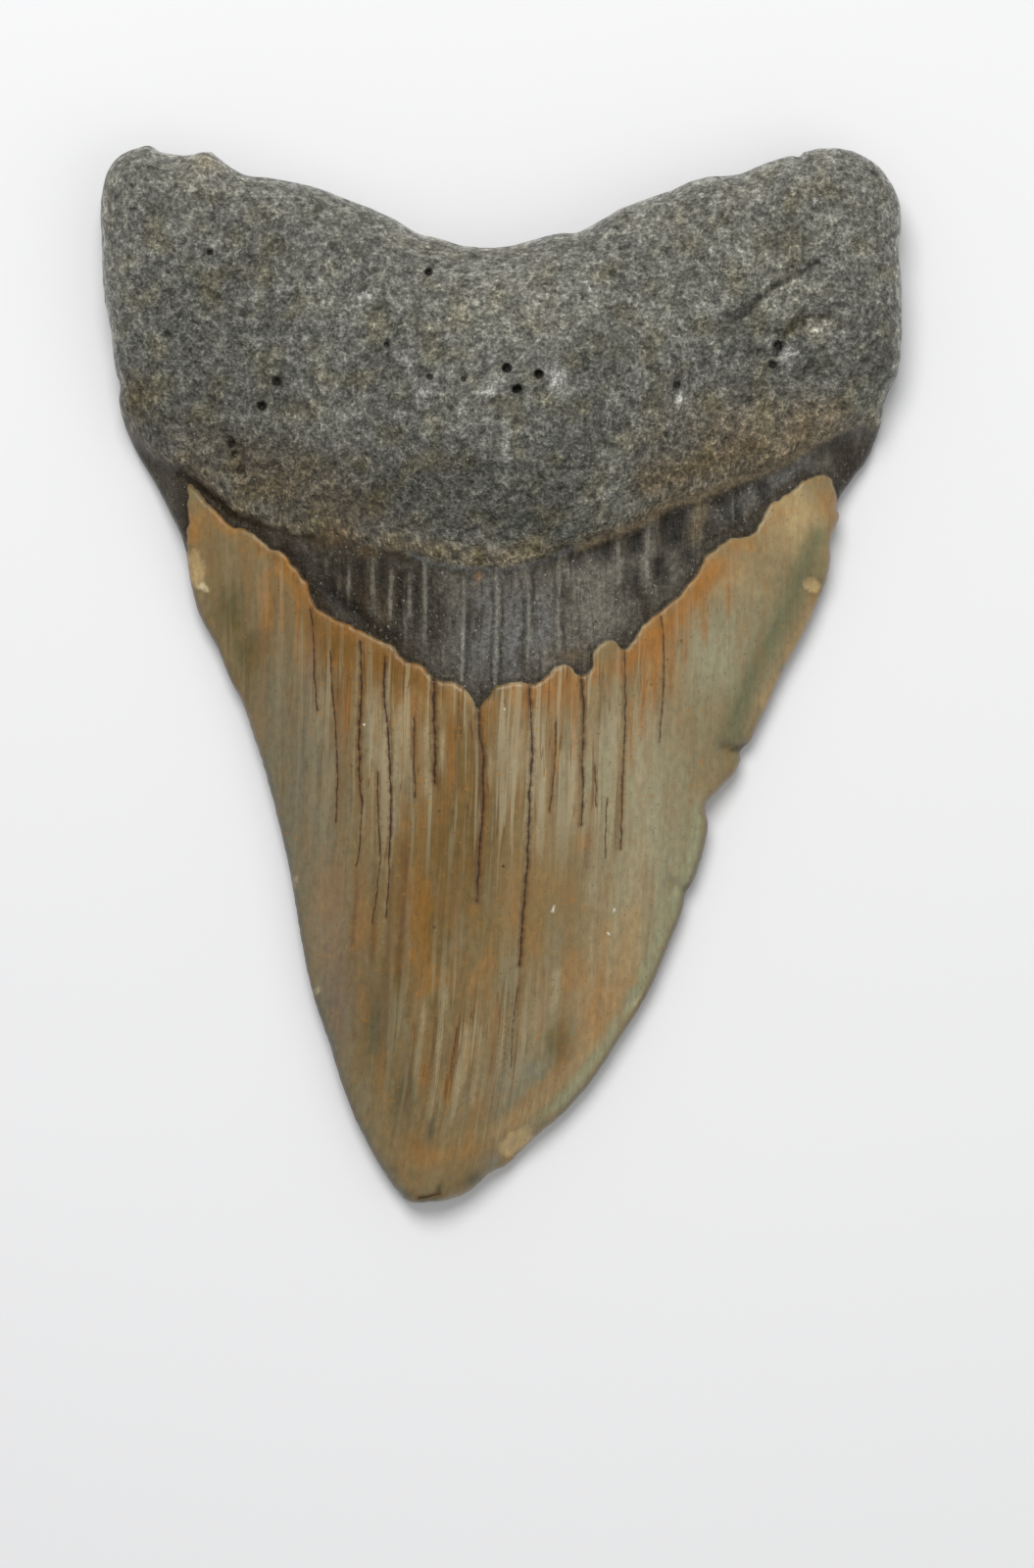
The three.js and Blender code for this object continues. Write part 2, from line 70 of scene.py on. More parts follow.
# Rounding of the rim, from the sharp crown to the thick root
CROWN_RIM = 0.45
ROOT_RIM_ABOVE = 5
ROOT_RIM_BELOW = 4
RIM_HEIGHT = 0.42
RIM_CHANGE = (11, 19)

# Hollow of the labial face between the root's lobes and the crown
HOLLOW = {"y": 12, "depth": 0.9, "across": 17, "along": 13, "rim": 0.12}
LABIAL_LEDGE = 0.3
LABIAL_EDGE = {"y": 7.5, "rise": 7, "half": 26}

# Grain of the enamel, its cracks and the small pores of the root
GRAIN_LEAN = 0.6
CRACK_WIDTH = 0.2
CRACK_DEPTH = 0.14
PORE_TRIES = 900
PORE_BOX = ((-31, 11), (31, 42))
PORE_CLEARANCE = 1
PORE_RADIUS = (0.14, 0.3)
PORE_DEPTH = 0.5

# Spacing of the vertices
OUTLINE_STEP = 0.17
ROW_STEP = 0.15
ROOT_GRID = 0.235
CROWN_GRID = 0.27
BOURLETTE_GRID = 0.18
UNDER_GRID = 0.62
PATH_STEP = 0.1
GRID_HALF = (33.5, 43.5)
GRID_SHIFT = 0.14
GRID_GAP = 0.66
SPAN_POINTS = 20
FAR = 100

# Gap to the part's box in metres, and the scale of the plans in the texture map
BOX_GAP = 2e-6
PLAN_SCALE = 0.485 / 66

# Light, floor and camera, in metres; a light has its place, size, power and colour
WORLD_COLOR = (0.97, 0.985, 1, 1)
WORLD_STRENGTH = 0.42
LIGHTS = [
    ("key", (-0.045, 0.2, 0.42), 0.24, 1.6, (1, 0.99, 0.97)),
    ("fill", (0.24, -0.1, 0.34), 0.36, 0.23, (1, 0.99, 0.93)),
]
FLOOR_COLOR = (0.793, 0.796, 0.812, 1)
FLOOR_HALF = 1.2
FLOOR_DROP = 5e-5
CAMERA_PLACE = (0.00126, -0.00876, 0.45)
LENS = 126.9
SENSOR_WIDTH = 36

# Outline, clockwise seen from above, starting where the enamel meets the left edge
LEFT_FLANK = [
    (-25.9, 11.2), (-26.8, 13.1), (-28, 15.4), (-29.5, 17.9), (-30.5, 20), (-30.9, 22.3),
    (-30.8, 23.3), (-31.2, 24.8), (-31.5, 27.7), (-32, 30.5), (-32.2, 34.4),
]
LEFT_LOBE = [
    (-32.3, 37.4), (-31.9, 40.2), (-31.2, 41.4), (-30.2, 42.2), (-28.3, 42.7), (-27.3, 42.2),
    (-25.4, 41.9), (-23.4, 42.2), (-22.8, 41.8), (-21.9, 41.1), (-20.6, 40.4),
]
NOTCH = [
    (-18, 40), (-15.2, 39.4), (-12.1, 38.3), (-8.9, 36.9), (-6.8, 35.7), (-5, 35.2),
    (-2.4, 34.5), (0.3, 34.5), (2.3, 35), (4.6, 35.6), (6.1, 35.7), (7.7, 36.5), (10, 37.8),
    (13.7, 39.1), (15.7, 40), (19.4, 40.5), (21.1, 41.2),
]
RIGHT_LOBE = [
    (23.4, 41.9), (24, 41.8), (24.4, 42.2), (27.2, 42.5), (29.2, 41.9), (30.8, 40.6),
    (32, 38.6), (32.3, 36.6), (32.1, 34.1), (32.3, 31.8), (32.3, 26),
]
RIGHT_FLANK = [(32, 24.1), (31.1, 22.1), (30.7, 19.9), (29.8, 17.6), (28.3, 15.6), (27.2, 13.7)]
RIGHT_CUTTING_EDGE = [
    (27.4, 12.8), (26.7, 10.9), (26.7, 9.4), (26.3, 7.5), (25.5, 5.5), (24.5, 3.3), (22.9, 0.4),
    (22.2, -1.1), (21, -3.7), (20.1, -5.5), (19.4, -6.2), (19.4, -6.9), (18.9, -8),
    (17.7, -9.3), (16.6, -10.6), (16.8, -12.2), (16.6, -13.6), (15.9, -16), (15.4, -17.1),
    (15, -17.7), (14.7, -19.1), (13.4, -22.4), (12, -25.7), (9.9, -29.1), (7.1, -33.3),
    (4.4, -36.2), (3, -37.3), (1.8, -38.5), (0.4, -39.8),
]
BROKEN_TIP = [
    (-1, -40.5), (-2.4, -41.8), (-4.1, -42.6), (-5.7, -42.8), (-7.4, -42.8), (-8.3, -42),
]
LEFT_CUTTING_EDGE = [
    (-9.9, -39.7), (-11.5, -36.7), (-12.8, -33.5), (-14, -29.7), (-15.3, -25.8),
    (-16.2, -21.5), (-17.1, -16.1), (-18.1, -11.7), (-19.5, -6.6), (-20.6, -3.3),
    (-21.1, -1.9), (-21.8, -0.7), (-23.1, 2.4), (-24.4, 4.8), (-25.1, 7.2), (-25.5, 9.8),
]

# The two sides without their chips, as (y, x), which the crown's arch spans
LEFT_SIDE = [
    (-43.5, -7.6), (-36.7, -11.6), (-25.8, -15.4), (-11.7, -18.4), (-1.9, -21.7), (7.2, -25.3),
    (15.4, -28.3), (22, -31), (34, -32.4), (43, -32.4),
]
RIGHT_SIDE = [
    (-43.5, -4.8), (-39.8, 0.8), (-33.3, 7.4), (-25.7, 12.4), (-16, 16.3), (-9.5, 18.9),
    (-3.7, 21.3), (3.3, 24.8), (9.4, 27.1), (13.7, 28.2), (20, 30.9), (26, 32.4), (43, 32.4),
]

# Height of the crown's arch over its edges, as (y, height)
ARCH_HEIGHT = [
    (-43.5, 1.2), (-38, 3), (-30, 4.8), (-20, 6.5), (-10, 8), (0, 9.2), (10, 9.9), (20, 10.3),
]

# Broken upper edge of the enamel, from the left edge to the right one
ENAMEL_LINE = [
    (-26.5, 9.7), (-25.4, 9.9), (-25.3, 10.6), (-25.1, 12.6), (-25, 15.3), (-23.9, 14.1),
    (-22.5, 12.7), (-21.6, 11.8), (-20.4, 11.5), (-19.4, 10.9), (-18.5, 10), (-17.2, 9.5),
    (-16.6, 8.5), (-15.5, 7.2), (-15, 5.6), (-13.5, 4.5), (-11.7, 3.6), (-9.5, 2.5),
    (-8.6, 2.1), (-7.7, 1), (-6.2, 0.5), (-5.4, -0.5), (-3.9, -0.8), (-2.6, -1.6),
    (-1.9, -2.8), (-1.1, -2.1), (-0.2, -1.1), (1.5, -0.8), (2.5, -1), (3.8, -0.2), (4.5, 0.5),
    (5.3, 0.5), (6.4, -0.3), (7.3, 0.3), (7.4, 1.5), (8.2, 2.4), (8.9, 2.5), (9.8, 1.8),
    (10.5, 2.4), (11.3, 3.7), (12.8, 4.9), (14.3, 6.2), (15.6, 7.8), (16.5, 9.3), (18.2, 10.6),
    (20.1, 11.1), (20.9, 12.2), (21.5, 13.4), (22.8, 14.2), (24.4, 15.5), (25.5, 16),
    (26.4, 15.8), (27, 14.7), (27.3, 13.7), (28.3, 13.4),
]

# Lower lip of the root's porous tissue, where it steps down to the bourlette
STEP_LINE = [
    (-32, 22.3), (-30.7, 21.2), (-28.7, 18.5), (-26.1, 16.6), (-24.8, 16), (-23.2, 14.8),
    (-21.8, 13.4), (-20.2, 12.5), (-17.2, 11.6), (-13.3, 10.8), (-10.2, 10.1), (-7, 9.6),
    (-3.6, 8.3), (0.1, 8.3), (3.2, 8.9), (6.5, 10.4), (9.5, 11.5), (11.6, 12.4), (13.3, 13.4),
    (16.8, 14.8), (19.8, 16.1), (23.8, 17.9), (26.4, 19), (28.6, 19.9), (30.6, 20), (32, 20.6),
]
STEP_HALF_WIDTH = 0.7
SOFT_STEP_HALF_WIDTH = 1.15
RIDGE_HEIGHT = 0.1

# Furrows: half the width, the depth and a path
FURROWS = [
    (0.5, 0.5, [(-25.6, 16.1), (-23.4, 14.3), (-21.5, 12.8), (-19.4, 11.8)]),
    (0.8, 0.6, [(-16.1, 11.4), (-14.1, 7.8), (-12.8, 5.8), (-11, 4.5)]),
    (0.6, 0.4, [(-14.5, 10.4), (-13.5, 8.8), (-12.4, 7.6)]),
    (1.3, 0.7, [(3.8, 8), (6.9, 9.5), (10, 10.5), (13.9, 12.3), (17.8, 13.7), (22.5, 15.5)]),
    (0.7, 0.35, [(16, 27.6), (19.2, 28.2), (20.8, 29.8), (22.7, 31.5), (24.5, 32.6)]),
    (0.6, 0.45, [(22.9, 27.2), (24.2, 28.4), (26.2, 28.5)]),
    (0.45, 0.5, [(-21.9, 18.9), (-20.8, 18.1), (-20.6, 16.2)]),
    (0.8, 0.25, [(-9.4, 35), (-4.5, 33), (1, 32.4), (6, 33.4), (11, 35.8)]),
    (0.45, 0.6, [(20.1, -5.6), (18.9, -5.9), (17.9, -6)]),
    (0.45, 0.45, [(15.5, -17.4), (14.6, -17.2), (13.6, -16.9)]),
]

# Lumps (height over 0) and chips (height under 0): x, y, long, short, turn, height
LUMPS = [
    (-23.4, 40.9, 1.7, 1.4, 0, 0.9),
    (-27.5, 37, 5, 4, 60, 0.5),
    (27.5, 36.5, 5, 4, 120, 0.5),
    (-21.6, 17.3, 1.9, 1.3, 100, 0.6),
    (25.4, 27.2, 1.7, 1.3, 30, 0.5),
    (22.9, 25, 1.3, 1, 20, 0.4),
    (10, 25, 6, 3.5, 20, 0.4),
    (-12, 19, 5, 3, 150, 0.35),
    (-24.4, 8.6, 1.7, 0.9, 80, -0.5),
    (25.2, 7.1, 1, 0.8, 0, -0.5),
    (0.9, -38.6, 2, 1.1, 40, -0.6),
    (10.8, -26.3, 0.9, 0.6, 60, -0.4),
]

# Foramina and pits of the root: x, y, radius, depth
PITS = [
    (0.5, 23.9, 0.4, 1.5), (3, 23.4, 0.4, 1.2), (1.3, 22.2, 0.4, 1.5), (-5.7, 31.8, 0.33, 1),
    (-9, 25.9, 0.3, 0.6), (-5.5, 23.2, 0.25, 0.5), (-2.9, 23, 0.25, 0.5),
    (-17.8, 23.2, 0.45, 0.9), (-19, 21.3, 0.42, 1), (-23.1, 33.5, 0.3, 0.6),
    (-26.6, 27.1, 0.3, 0.5), (14, 22.8, 0.35, 0.8), (22.1, 26.1, 0.4, 0.7),
    (-21.5, 18.3, 0.4, 0.7), (-21.2, 17.5, 0.35, 0.6),
    (21.6, 24.6, 0.35, 0.6),
]

# Cracks of the enamel, from the root towards the tip: width and path
CRACKS = [
    (0.10, [(-15.2, 5.1), (-15, 3), (-14.9, -0.2), (-14.7, -2.9)]),
    (0.10, [(-13.6, 1.8), (-13.5, -1), (-13.2, -4.5), (-13.1, -8), (-13.2, -11.9)]),
    (0.20, [(-11.2, 2.5), (-11.1, -0.7), (-11.3, -4.9), (-11.3, -8.7), (-11.1, -10.6)]),
    (0.09, [(-11.1, -10.6), (-11.3, -13.9), (-11.6, -15.5)]),
    (0.20, [(-9.2, 1.2), (-9.3, -1.4), (-9, -4.7), (-8.8, -8.7), (-8.8, -11.9), (-8.9, -14.6)]),
    (0.09, [(-8.9, -14.6), (-9, -17.4), (-9.2, -19.6)]),
    (0.14, [(-9.8, -7.9), (-9.8, -11.5), (-9.6, -14.6)]),
    (0.07, [(-9.6, -14.6), (-9.9, -17.4), (-10.3, -20)]),
    (0.26, [(-5.3, -0.5), (-5.3, -3.7), (-5.2, -6.4), (-5.3, -8.8)]),
    (0.09, [(-6.9, -3.6), (-6.9, -6.6), (-6.8, -10)]),
    (0.22, [(-1.7, -2.7), (-1.7, -4.5), (-1.4, -6.8), (-1.4, -9.7), (-1.5, -11.9),
            (-1.7, -14.5), (-1.8, -16.3), (-1.9, -18.3)]),
    (0.22, [(2.3, -1.1), (2.4, -2.9), (2.5, -6.7), (2.3, -9.7), (2.2, -13.4), (2, -16.6),
            (1.7, -20.1), (1.5, -23.4)]),
    (0.06, [(1.3, -25.2), (1, -27.8), (0.8, -31.6)]),
    (0.18, [(6.4, -0.1), (6.6, -3), (6.5, -6.7), (6.6, -9.7), (6.4, -12.2)]),
    (0.11, [(9.8, 2.5), (9.9, -0.5), (9.9, -4.7), (9.7, -8.8), (9.6, -14.1)]),
    (0.09, [(12.8, 4.5), (13, 1.6), (13, -0.9), (12.8, -3.7), (12.7, -5.5)]),
    (0.07, [(-3.5, -28.4), (-3.7, -29.8), (-4, -32)]),
    (0.08, [(4.4, -3.9), (4.3, -7.2), (3.9, -11.1)]),
    (0.08, [(7.5, -7.4), (7.6, -10.6)]),
    (0.08, [(8.5, -10), (8.4, -12.6), (8.4, -14.8)]),
    (0.20, [(-6.6, -42.3), (-5.9, -42.1), (-4.9, -41.9)]),
]

# Brown streaks that follow the enamel's grain: x, upper y, lower y, half the width
BROWN_STREAKS = [
    (-11.7, -15.5, -22.5, 0.22), (-9.1, -15, -26, 0.3), (-10.2, -15, -24, 0.25),
    (-7.9, -13, -25, 0.35), (-6.9, -2, -10.5, 0.25), (1.3, -24, -32, 0.3),
    (4.1, -4, -12, 0.2), (6.9, -12.5, -16.5, 0.25), (-5.3, -27, -33, 0.22),
    (-4.2, -29, -34.5, 0.2), (-0.7, -29, -32.5, 0.22), (9.2, -9.5, -14.5, 0.2),
    (-7.2, -28, -35, 0.2), (-2.7, -31, -36.5, 0.16), (-6.1, -31, -37, 0.16), (0.4, -25, -33, 0.16),
    (7.9, 0, -4, 0.2), (-1.7, -3, -16, 0.3), (-12.9, 0.5, -4, 0.2),
]

# Rusty fingers that hang from the broken edge, in the same form
RUSTY_STREAKS = [
    (11.3, 1.5, -5, 0.3), (12.3, 2.5, -3.5, 0.22), (13.7, 3.5, -1.5, 0.22), (14.8, 4.5, 0.5, 0.25),
    (16.3, 6, 2.5, 0.22), (10.4, -2, -8, 0.2), (-12.2, 1, -5, 0.25), (-10.9, 0, -4, 0.2),
    (-6.9, -1.5, -7, 0.2), (-3.9, -3, -9, 0.25), (1.2, -3, -6.5, 0.2), (4.4, -2, -8.5, 0.2),
    (5.9, -1, -7, 0.16), (-17.6, 8, 3, 0.2), (-16.2, 6.5, 0.5, 0.2), (18.2, 7.5, 4.5, 0.2),
]

# Pale streaks between the cracks, in the same form
PALE_STREAKS = [
    (-14.3, -1, -5.7, 0.5), (-10.2, -1.4, -4.5, 0.6), (-9.5, -4.1, -8, 0.35),
    (-8.1, -2.4, -12.7, 0.45), (-6.1, -4.1, -9.9, 0.45), (-4.6, -4.5, -8, 0.3),
    (-0.9, -6, -9, 0.25), (1.3, -4.5, -9, 0.4), (3.1, -3.3, -14.3, 0.4),
    (4.9, -5.7, -9, 0.3), (5.8, -4.1, -11.9, 0.3), (7.5, -4.1, -18.6, 0.5),
    (9, -2.5, -13.9, 0.5), (-9.2, -15, -22.9, 0.16), (7.3, -19.7, -22.9, 0.2),
    (4.3, -23.6, -28.3, 0.4), (1.8, -26.8, -29.9, 0.25), (-2.9, -28.3, -33, 0.3),
    (-6.5, -26, -34, 0.2), (-5.2, -29, -35.5, 0.22), (-3.5, -31, -36, 0.2), (-1.9, -28, -35, 0.2),
    (-4.6, -25, -30, 0.16), (2.9, -26, -30.5, 0.2), (0.1, -26, -32, 0.16),
    (11.4, -2.5, -18, 1.1),
]

# Light ridges, dark gaps and dark blocks down the bourlette, in the same form
BOURLETTE_RIDGES = [
    (-14, 9.2, 7.8, 0.14), (-12.1, 8.3, 5.8, 0.14), (-10.2, 9, 4.6, 0.17), (-8.7, 8.3, 4.2, 0.17),
    (-7.2, 8, 4.5, 0.13), (-6, 9, 2.4, 0.15), (-7.6, 4.5, 2.4, 0.12), (-2.95, 7.6, -1, 0.13),
    (-0.3, 8, -2, 0.17), (2.2, 8.6, 0.2, 0.14), (4.6, 9, 1.6, 0.13), (9.35, 10.6, 7, 0.2),
    (11.7, 12.2, 7, 0.22), (6.6, 6.4, 4.4, 0.1), (7.9, 7, 5.2, 0.12), (18.6, 14.4, 12.4, 0.1),
]
BOURLETTE_GAPS = [
    (-11.2, 9.5, 5.4, 0.5), (-9.4, 9.1, 4.8, 0.32), (-8, 8, 4.2, 0.32), (-6.6, 8.2, 3, 0.3),
    (-2.6, 5, -0.8, 0.13), (0.1, 7, -1, 0.11), (-0.7, 7, -1.5, 0.11), (1.85, 6, 0.5, 0.11),
    (2.6, 8, 4, 0.13), (4.95, 8, 1.5, 0.12), (-5.6, 8, 1.5, 0.12),
]
BOURLETTE_BLOCKS = [
    (8, 11.2, 8.6, 1.1), (6, 9.9, 8, 0.6), (10.7, 12, 9, 0.75), (13.9, 13.6, 9.8, 1.2),
    (18.4, 15, 12, 1), (10.5, 8.6, 6.2, 0.6), (12.8, 9.4, 7, 0.75), (21, 15.6, 13.4, 0.6),
    (16.6, 12.4, 10.6, 0.5), (14.9, 9.9, 8.6, 0.5),
]

# Colours as they look under the scene's light, 0 to 255
ENAMEL = (126, 109, 75)
BOURLETTE = (70, 66, 58)
ROOT = (99, 99, 93)
LABIAL_ENAMEL = (118, 106, 80)
ORANGE = (164, 112, 48)
RUST = (130, 92, 46)
TAN = (176, 154, 112)
PALE_TAN = (186, 160, 112)
CREAM = (208, 192, 152)
GOLDEN = (98, 76, 36)
HONEY = (127, 100, 54)
DARK_BROWN = (88, 70, 44)
NEAR_BLACK = (52, 45, 36)
OLIVE = (96, 86, 52)
DARK_OLIVE = (84, 79, 58)
DARK_GREEN = (106, 107, 79)
MARGIN_TAN = (168, 138, 95)
PURPLE_GREY = (112, 100, 86)
FIELD_BROWN = (112, 84, 44)
FIELD_GOLD = (118, 86, 40)
DEEP_ORANGE = (152, 100, 42)
MARGIN_GREEN = (146, 146, 116)
GREY_GREEN = (153, 149, 121)
GREY_BROWN = (110, 106, 89)
PINK_GREY = (134, 115, 94)
SLATE = (122, 120, 100)
WHITE = (228, 224, 208)
STREAK_PALE = (160, 148, 118)
STREAK_BROWN = (92, 62, 28)
ROOT_DARK = (66, 66, 59)
ROOT_BROWN = (106, 90, 66)
DARK_TISSUE = (86, 75, 58)
ROOT_LIGHT = (134, 132, 121)
FLANK_DARK = (60, 58, 54)
LIP = (128, 114, 90)
BLUE_SLATE = (98, 97, 93)
BOURLETTE_LIGHT = (112, 108, 98)
PALE_LIP = (136, 121, 98)
# GLINT is the colour of painted highlights.
GLINT = (176, 176, 170)
SLATE_LIGHT = (110, 111, 110)
EDGE_GREEN = (106, 109, 92)
PIT_DARK = (34, 33, 30)
CRACK_DARK = (46, 34, 20)

# What a surface's sheen adds to its own colour, and the least that stays, both linear
SHEEN = 0.012
DARKEST = 0.002
WARM_BROWN = (0.24, 0.13, 0.05, 1)

# Reflectance of the bare tissue and of the enamel, and the height of the finest relief
BARE_SPECULAR = 0.2
ENAMEL_SPECULAR = 0.4
RELIEF_HEIGHT = 2e-4

# Stains of the enamel: x, y, half the width, half the length, colour, strength
ENAMEL_STAINS = [
    (-15.5, -9, 3.6, 10, GREY_BROWN, 0.8),
    (-18.9, -1, 2, 8, GREY_BROWN, 0.55),
    (-13.8, -20, 2.2, 4.8, PINK_GREY, 0.6),
    (-13.4, -28, 1.8, 7.5, PURPLE_GREY, 0.7),
    (4, -29, 6, 7, GREY_GREEN, 0.25),
    (20.6, 2.6, 4, 7, GREY_GREEN, 0.45),
    (-18.7, 5.2, 0.5, 2.8, RUST, 0.7),
    (-21.9, 5.2, 1.2, 1.8, DARK_OLIVE, 0.85),
    (-19.9, 2, 1.2, 1.2, DARK_OLIVE, 0.85),
    (-21, 0, 1.6, 3.5, OLIVE, 0.3),
    (16.9, -10.4, 0.9, 1, ORANGE, 0.3),
    (-11.6, -22, 1.2, 6, FIELD_BROWN, 0.35),
    (-12.9, -1.5, 0.7, 3.5, FIELD_GOLD, 0.5),
    (-3.4, -7, 1.3, 8, FIELD_BROWN, 0.5),
    (-10.1, -4.6, 0.7, 3.4, STREAK_PALE, 0.65),
    (-7.2, -6.2, 1.2, 4, STREAK_PALE, 0.55),
    (0.8, -6.6, 1.5, 2.5, STREAK_PALE, 0.55),
    (3.6, -9, 0.7, 6, STREAK_PALE, 0.55),
    (5.7, -8.5, 0.6, 4, STREAK_PALE, 0.45),
    (4.6, -1.7, 3, 1.6, ORANGE, 0.4),
    (12.6, 1.6, 1.3, 3.2, ORANGE, 0.8),
    (14.6, 3.4, 0.4, 2.4, RUST, 0.5),
    (13.3, -0.6, 0.25, 3, RUST, 0.45),
    (11.6, -2, 0.45, 3.4, ORANGE, 0.5),
    (10.3, -3, 0.3, 4, RUST, 0.55),
    (14.2, -0.5, 0.35, 2.6, ORANGE, 0.4),
    (16.2, 5.4, 0.5, 2.2, ORANGE, 0.45),
    (-1.7, -10, 2.6, 8.5, GOLDEN, 0.6),
    (-5.2, -18, 3.6, 8.5, GOLDEN, 0.85),
    (-7.8, -19, 0.8, 6, DARK_BROWN, 0.5),
    (3, -19, 3.6, 6.5, HONEY, 0.6),
    (17, 1.6, 3, 4.6, GREY_GREEN, 0.85),
    (12.5, -12, 3.6, 9, GREY_GREEN, 0.85),
    (7.8, -8, 2.4, 5.5, GREY_GREEN, 0.55),
    (7.9, -27, 2.3, 4.2, MARGIN_TAN, 0.75),
    (9.8, -19.8, 2, 3.6, TAN, 0.5),
    (11, -20, 2.6, 6, GREY_GREEN, 0.5),
    (-18.9, 5.8, 0.5, 2.4, ORANGE, 0.6),
    (-17.3, 8.8, 0.9, 1.3, ORANGE, 0.75),
    (-15.6, 6.6, 0.7, 1.5, ORANGE, 0.8),
    (-13.9, 4.6, 1.3, 1.1, ORANGE, 0.8),
    (-11.9, 2.9, 1.2, 1, ORANGE, 0.7),
    (-13, 2, 1.8, 1.9, RUST, 0.85),
    (-7.1, -2, 1.7, 1.8, ORANGE, 0.45),
    (-3.7, -1.9, 1.7, 1.3, TAN, 0.6),
    (14.6, 4.5, 0.7, 1.8, ORANGE, 0.5),
    (18.3, 7.7, 2.2, 1.8, TAN, 0.6),
    (18.3, 8.4, 1.6, 1, ORANGE, 0.3),
    (23.8, 12.4, 3, 3, TAN, 0.9),
    (26.3, 13.8, 0.8, 1, ORANGE, 0.5),
    (6.7, -13.5, 0.5, 0.7, ORANGE, 0.6),
    (10.8, -24.8, 0.6, 0.5, ORANGE, 0.7),
    (8.3, -28, 1.4, 2.6, ORANGE, 0.35),
    (-6, -18.1, 0.6, 1.4, ORANGE, 0.35),
    (-7.1, -22.5, 0.4, 0.5, ORANGE, 0.5),
    (-7.7, -12.1, 0.35, 0.4, ORANGE, 0.5),
    (-2.1, -18.9, 0.35, 0.5, ORANGE, 0.4),
    (-6.3, -32.2, 0.6, 1, ORANGE, 0.45),
    (-6.8, -37.7, 1.2, 1, RUST, 0.5),
    (-1.7, -35, 0.9, 1.3, RUST, 0.45),
    (-21.7, 4.5, 1, 1.8, OLIVE, 0.7),
    (-20.2, 1.4, 1, 1.9, OLIVE, 0.7),
    (-15.1, 2, 0.7, 3.6, PINK_GREY, 0.6),
    (4.6, -29.2, 1.1, 2, OLIVE, 0.7),
    (6.5, -28.4, 0.6, 1, SLATE, 0.5),
    (0.9, -33, 1.9, 2.6, SLATE, 0.65),
    (-7.8, -34, 1, 2.4, DARK_OLIVE, 0.7),
    (-9.7, -28.4, 1.5, 4.4, DARK_OLIVE, 0.75),
    (-5.6, -36.7, 0.25, 0.9, DARK_OLIVE, 0.8),
    (-5.8, -38.9, 1.6, 0.9, ORANGE, 0.45),
    (-2, -38.3, 1.6, 0.8, ORANGE, 0.35),
    (2.6, -32, 0.9, 0.7, SLATE, 0.6),
    (-0.7, -39.6, 0.6, 0.5, GREY_BROWN, 0.7),
    (-2, -41, 0.9, 0.5, DARK_OLIVE, 0.7),
    (-9.7, -10, 0.25, 5, STREAK_BROWN, 0.5),
    (-7.1, -18.5, 1.2, 5, ORANGE, 0.3),
    (22.6, 0.4, 0.4, 0.5, SLATE, 0.6),
    (18.8, -5.9, 0.9, 0.5, DARK_BROWN, 0.7),
    (14.5, -17.2, 1, 0.5, DARK_BROWN, 0.6),
    (-8.7, -40, 0.5, 0.4, NEAR_BLACK, 0.6),
    (-7.4, -42, 0.7, 0.5, NEAR_BLACK, 0.6),
    (-5, -41.5, 0.35, 0.6, NEAR_BLACK, 0.7),
]

# Stains of the tip that lie over its streaks
TIP_STAINS = [
    (4.7, -29.8, 0.8, 1.3, OLIVE, 0.75),
    (2.6, -32, 1, 0.7, SLATE, 0.5),
    (-7.6, -33.5, 0.7, 2.2, DARK_OLIVE, 0.6),
    (-5.6, -36.7, 0.3, 1, DARK_OLIVE, 0.7),
    (-9.8, -28.3, 1, 3, DARK_OLIVE, 0.45),
    (-13.5, -29, 1.1, 4.5, PURPLE_GREY, 0.6),
    (-2, -40.8, 1, 0.6, DARK_OLIVE, 0.6),
]

# Stains of the bourlette and of the root, in the same form; among the root's are painted light and
# shade and painted highlights (GLINT).
BOURLETTE_STAINS = [
    (3.4, 4.2, 8, 4.6, BOURLETTE_LIGHT, 0.4),
    (11, 8.6, 5, 2.4, BOURLETTE_LIGHT, 0.5),
    (3.4, 3.6, 0.7, 1.8, SLATE_LIGHT, 0.7),
    (-1.6, 3.2, 0.8, 2.4, SLATE_LIGHT, 0.45),
    (1.2, 3, 0.7, 2.4, SLATE_LIGHT, 0.8),
    (-4.4, 4.2, 1.3, 2.6, BOURLETTE, 0.7),
    (7.6, 4.6, 2, 0.8, BOURLETTE_LIGHT, 0.8),
    (6.6, 2.6, 2.4, 0.7, BOURLETTE_LIGHT, 0.6),
    (5.6, 1.4, 1.6, 0.6, ROOT_BROWN, 0.5),
    (-1.75, 7.8, 0.22, 0.7, ORANGE, 0.5),
    (15.9, 12.7, 0.55, 0.9, LIP, 0.6),
    (12.4, 12.3, 0.3, 0.4, LIP, 0.6),
    (22.4, 15.6, 1.1, 0.6, BLUE_SLATE, 0.7),
    (-1.2, -1.5, 0.6, 0.8, NEAR_BLACK, 0.8),
    (15.7, 12, 0.4, 0.9, ROOT_BROWN, 0.7),
    (-1, 3.4, 3, 3.8, BLUE_SLATE, 0.75),
    (2.9, 4.2, 2, 3, BLUE_SLATE, 0.5),
    (7.6, 5.6, 1.5, 2.8, BOURLETTE_LIGHT, 0.6),
    (-11, 7.4, 4, 3, NEAR_BLACK, 0.55),
    (-11, 6.2, 1, 1.6, ROOT_BROWN, 0.3),
    (-9.3, 4.6, 0.9, 1.4, ROOT_BROWN, 0.35),
    (-22, 13.4, 1.4, 1.4, NEAR_BLACK, 0.5),
    (15.4, 10.9, 0.7, 0.7, ROOT_BROWN, 0.5),
    (28, 16.5, 1.6, 3, NEAR_BLACK, 0.6),
]
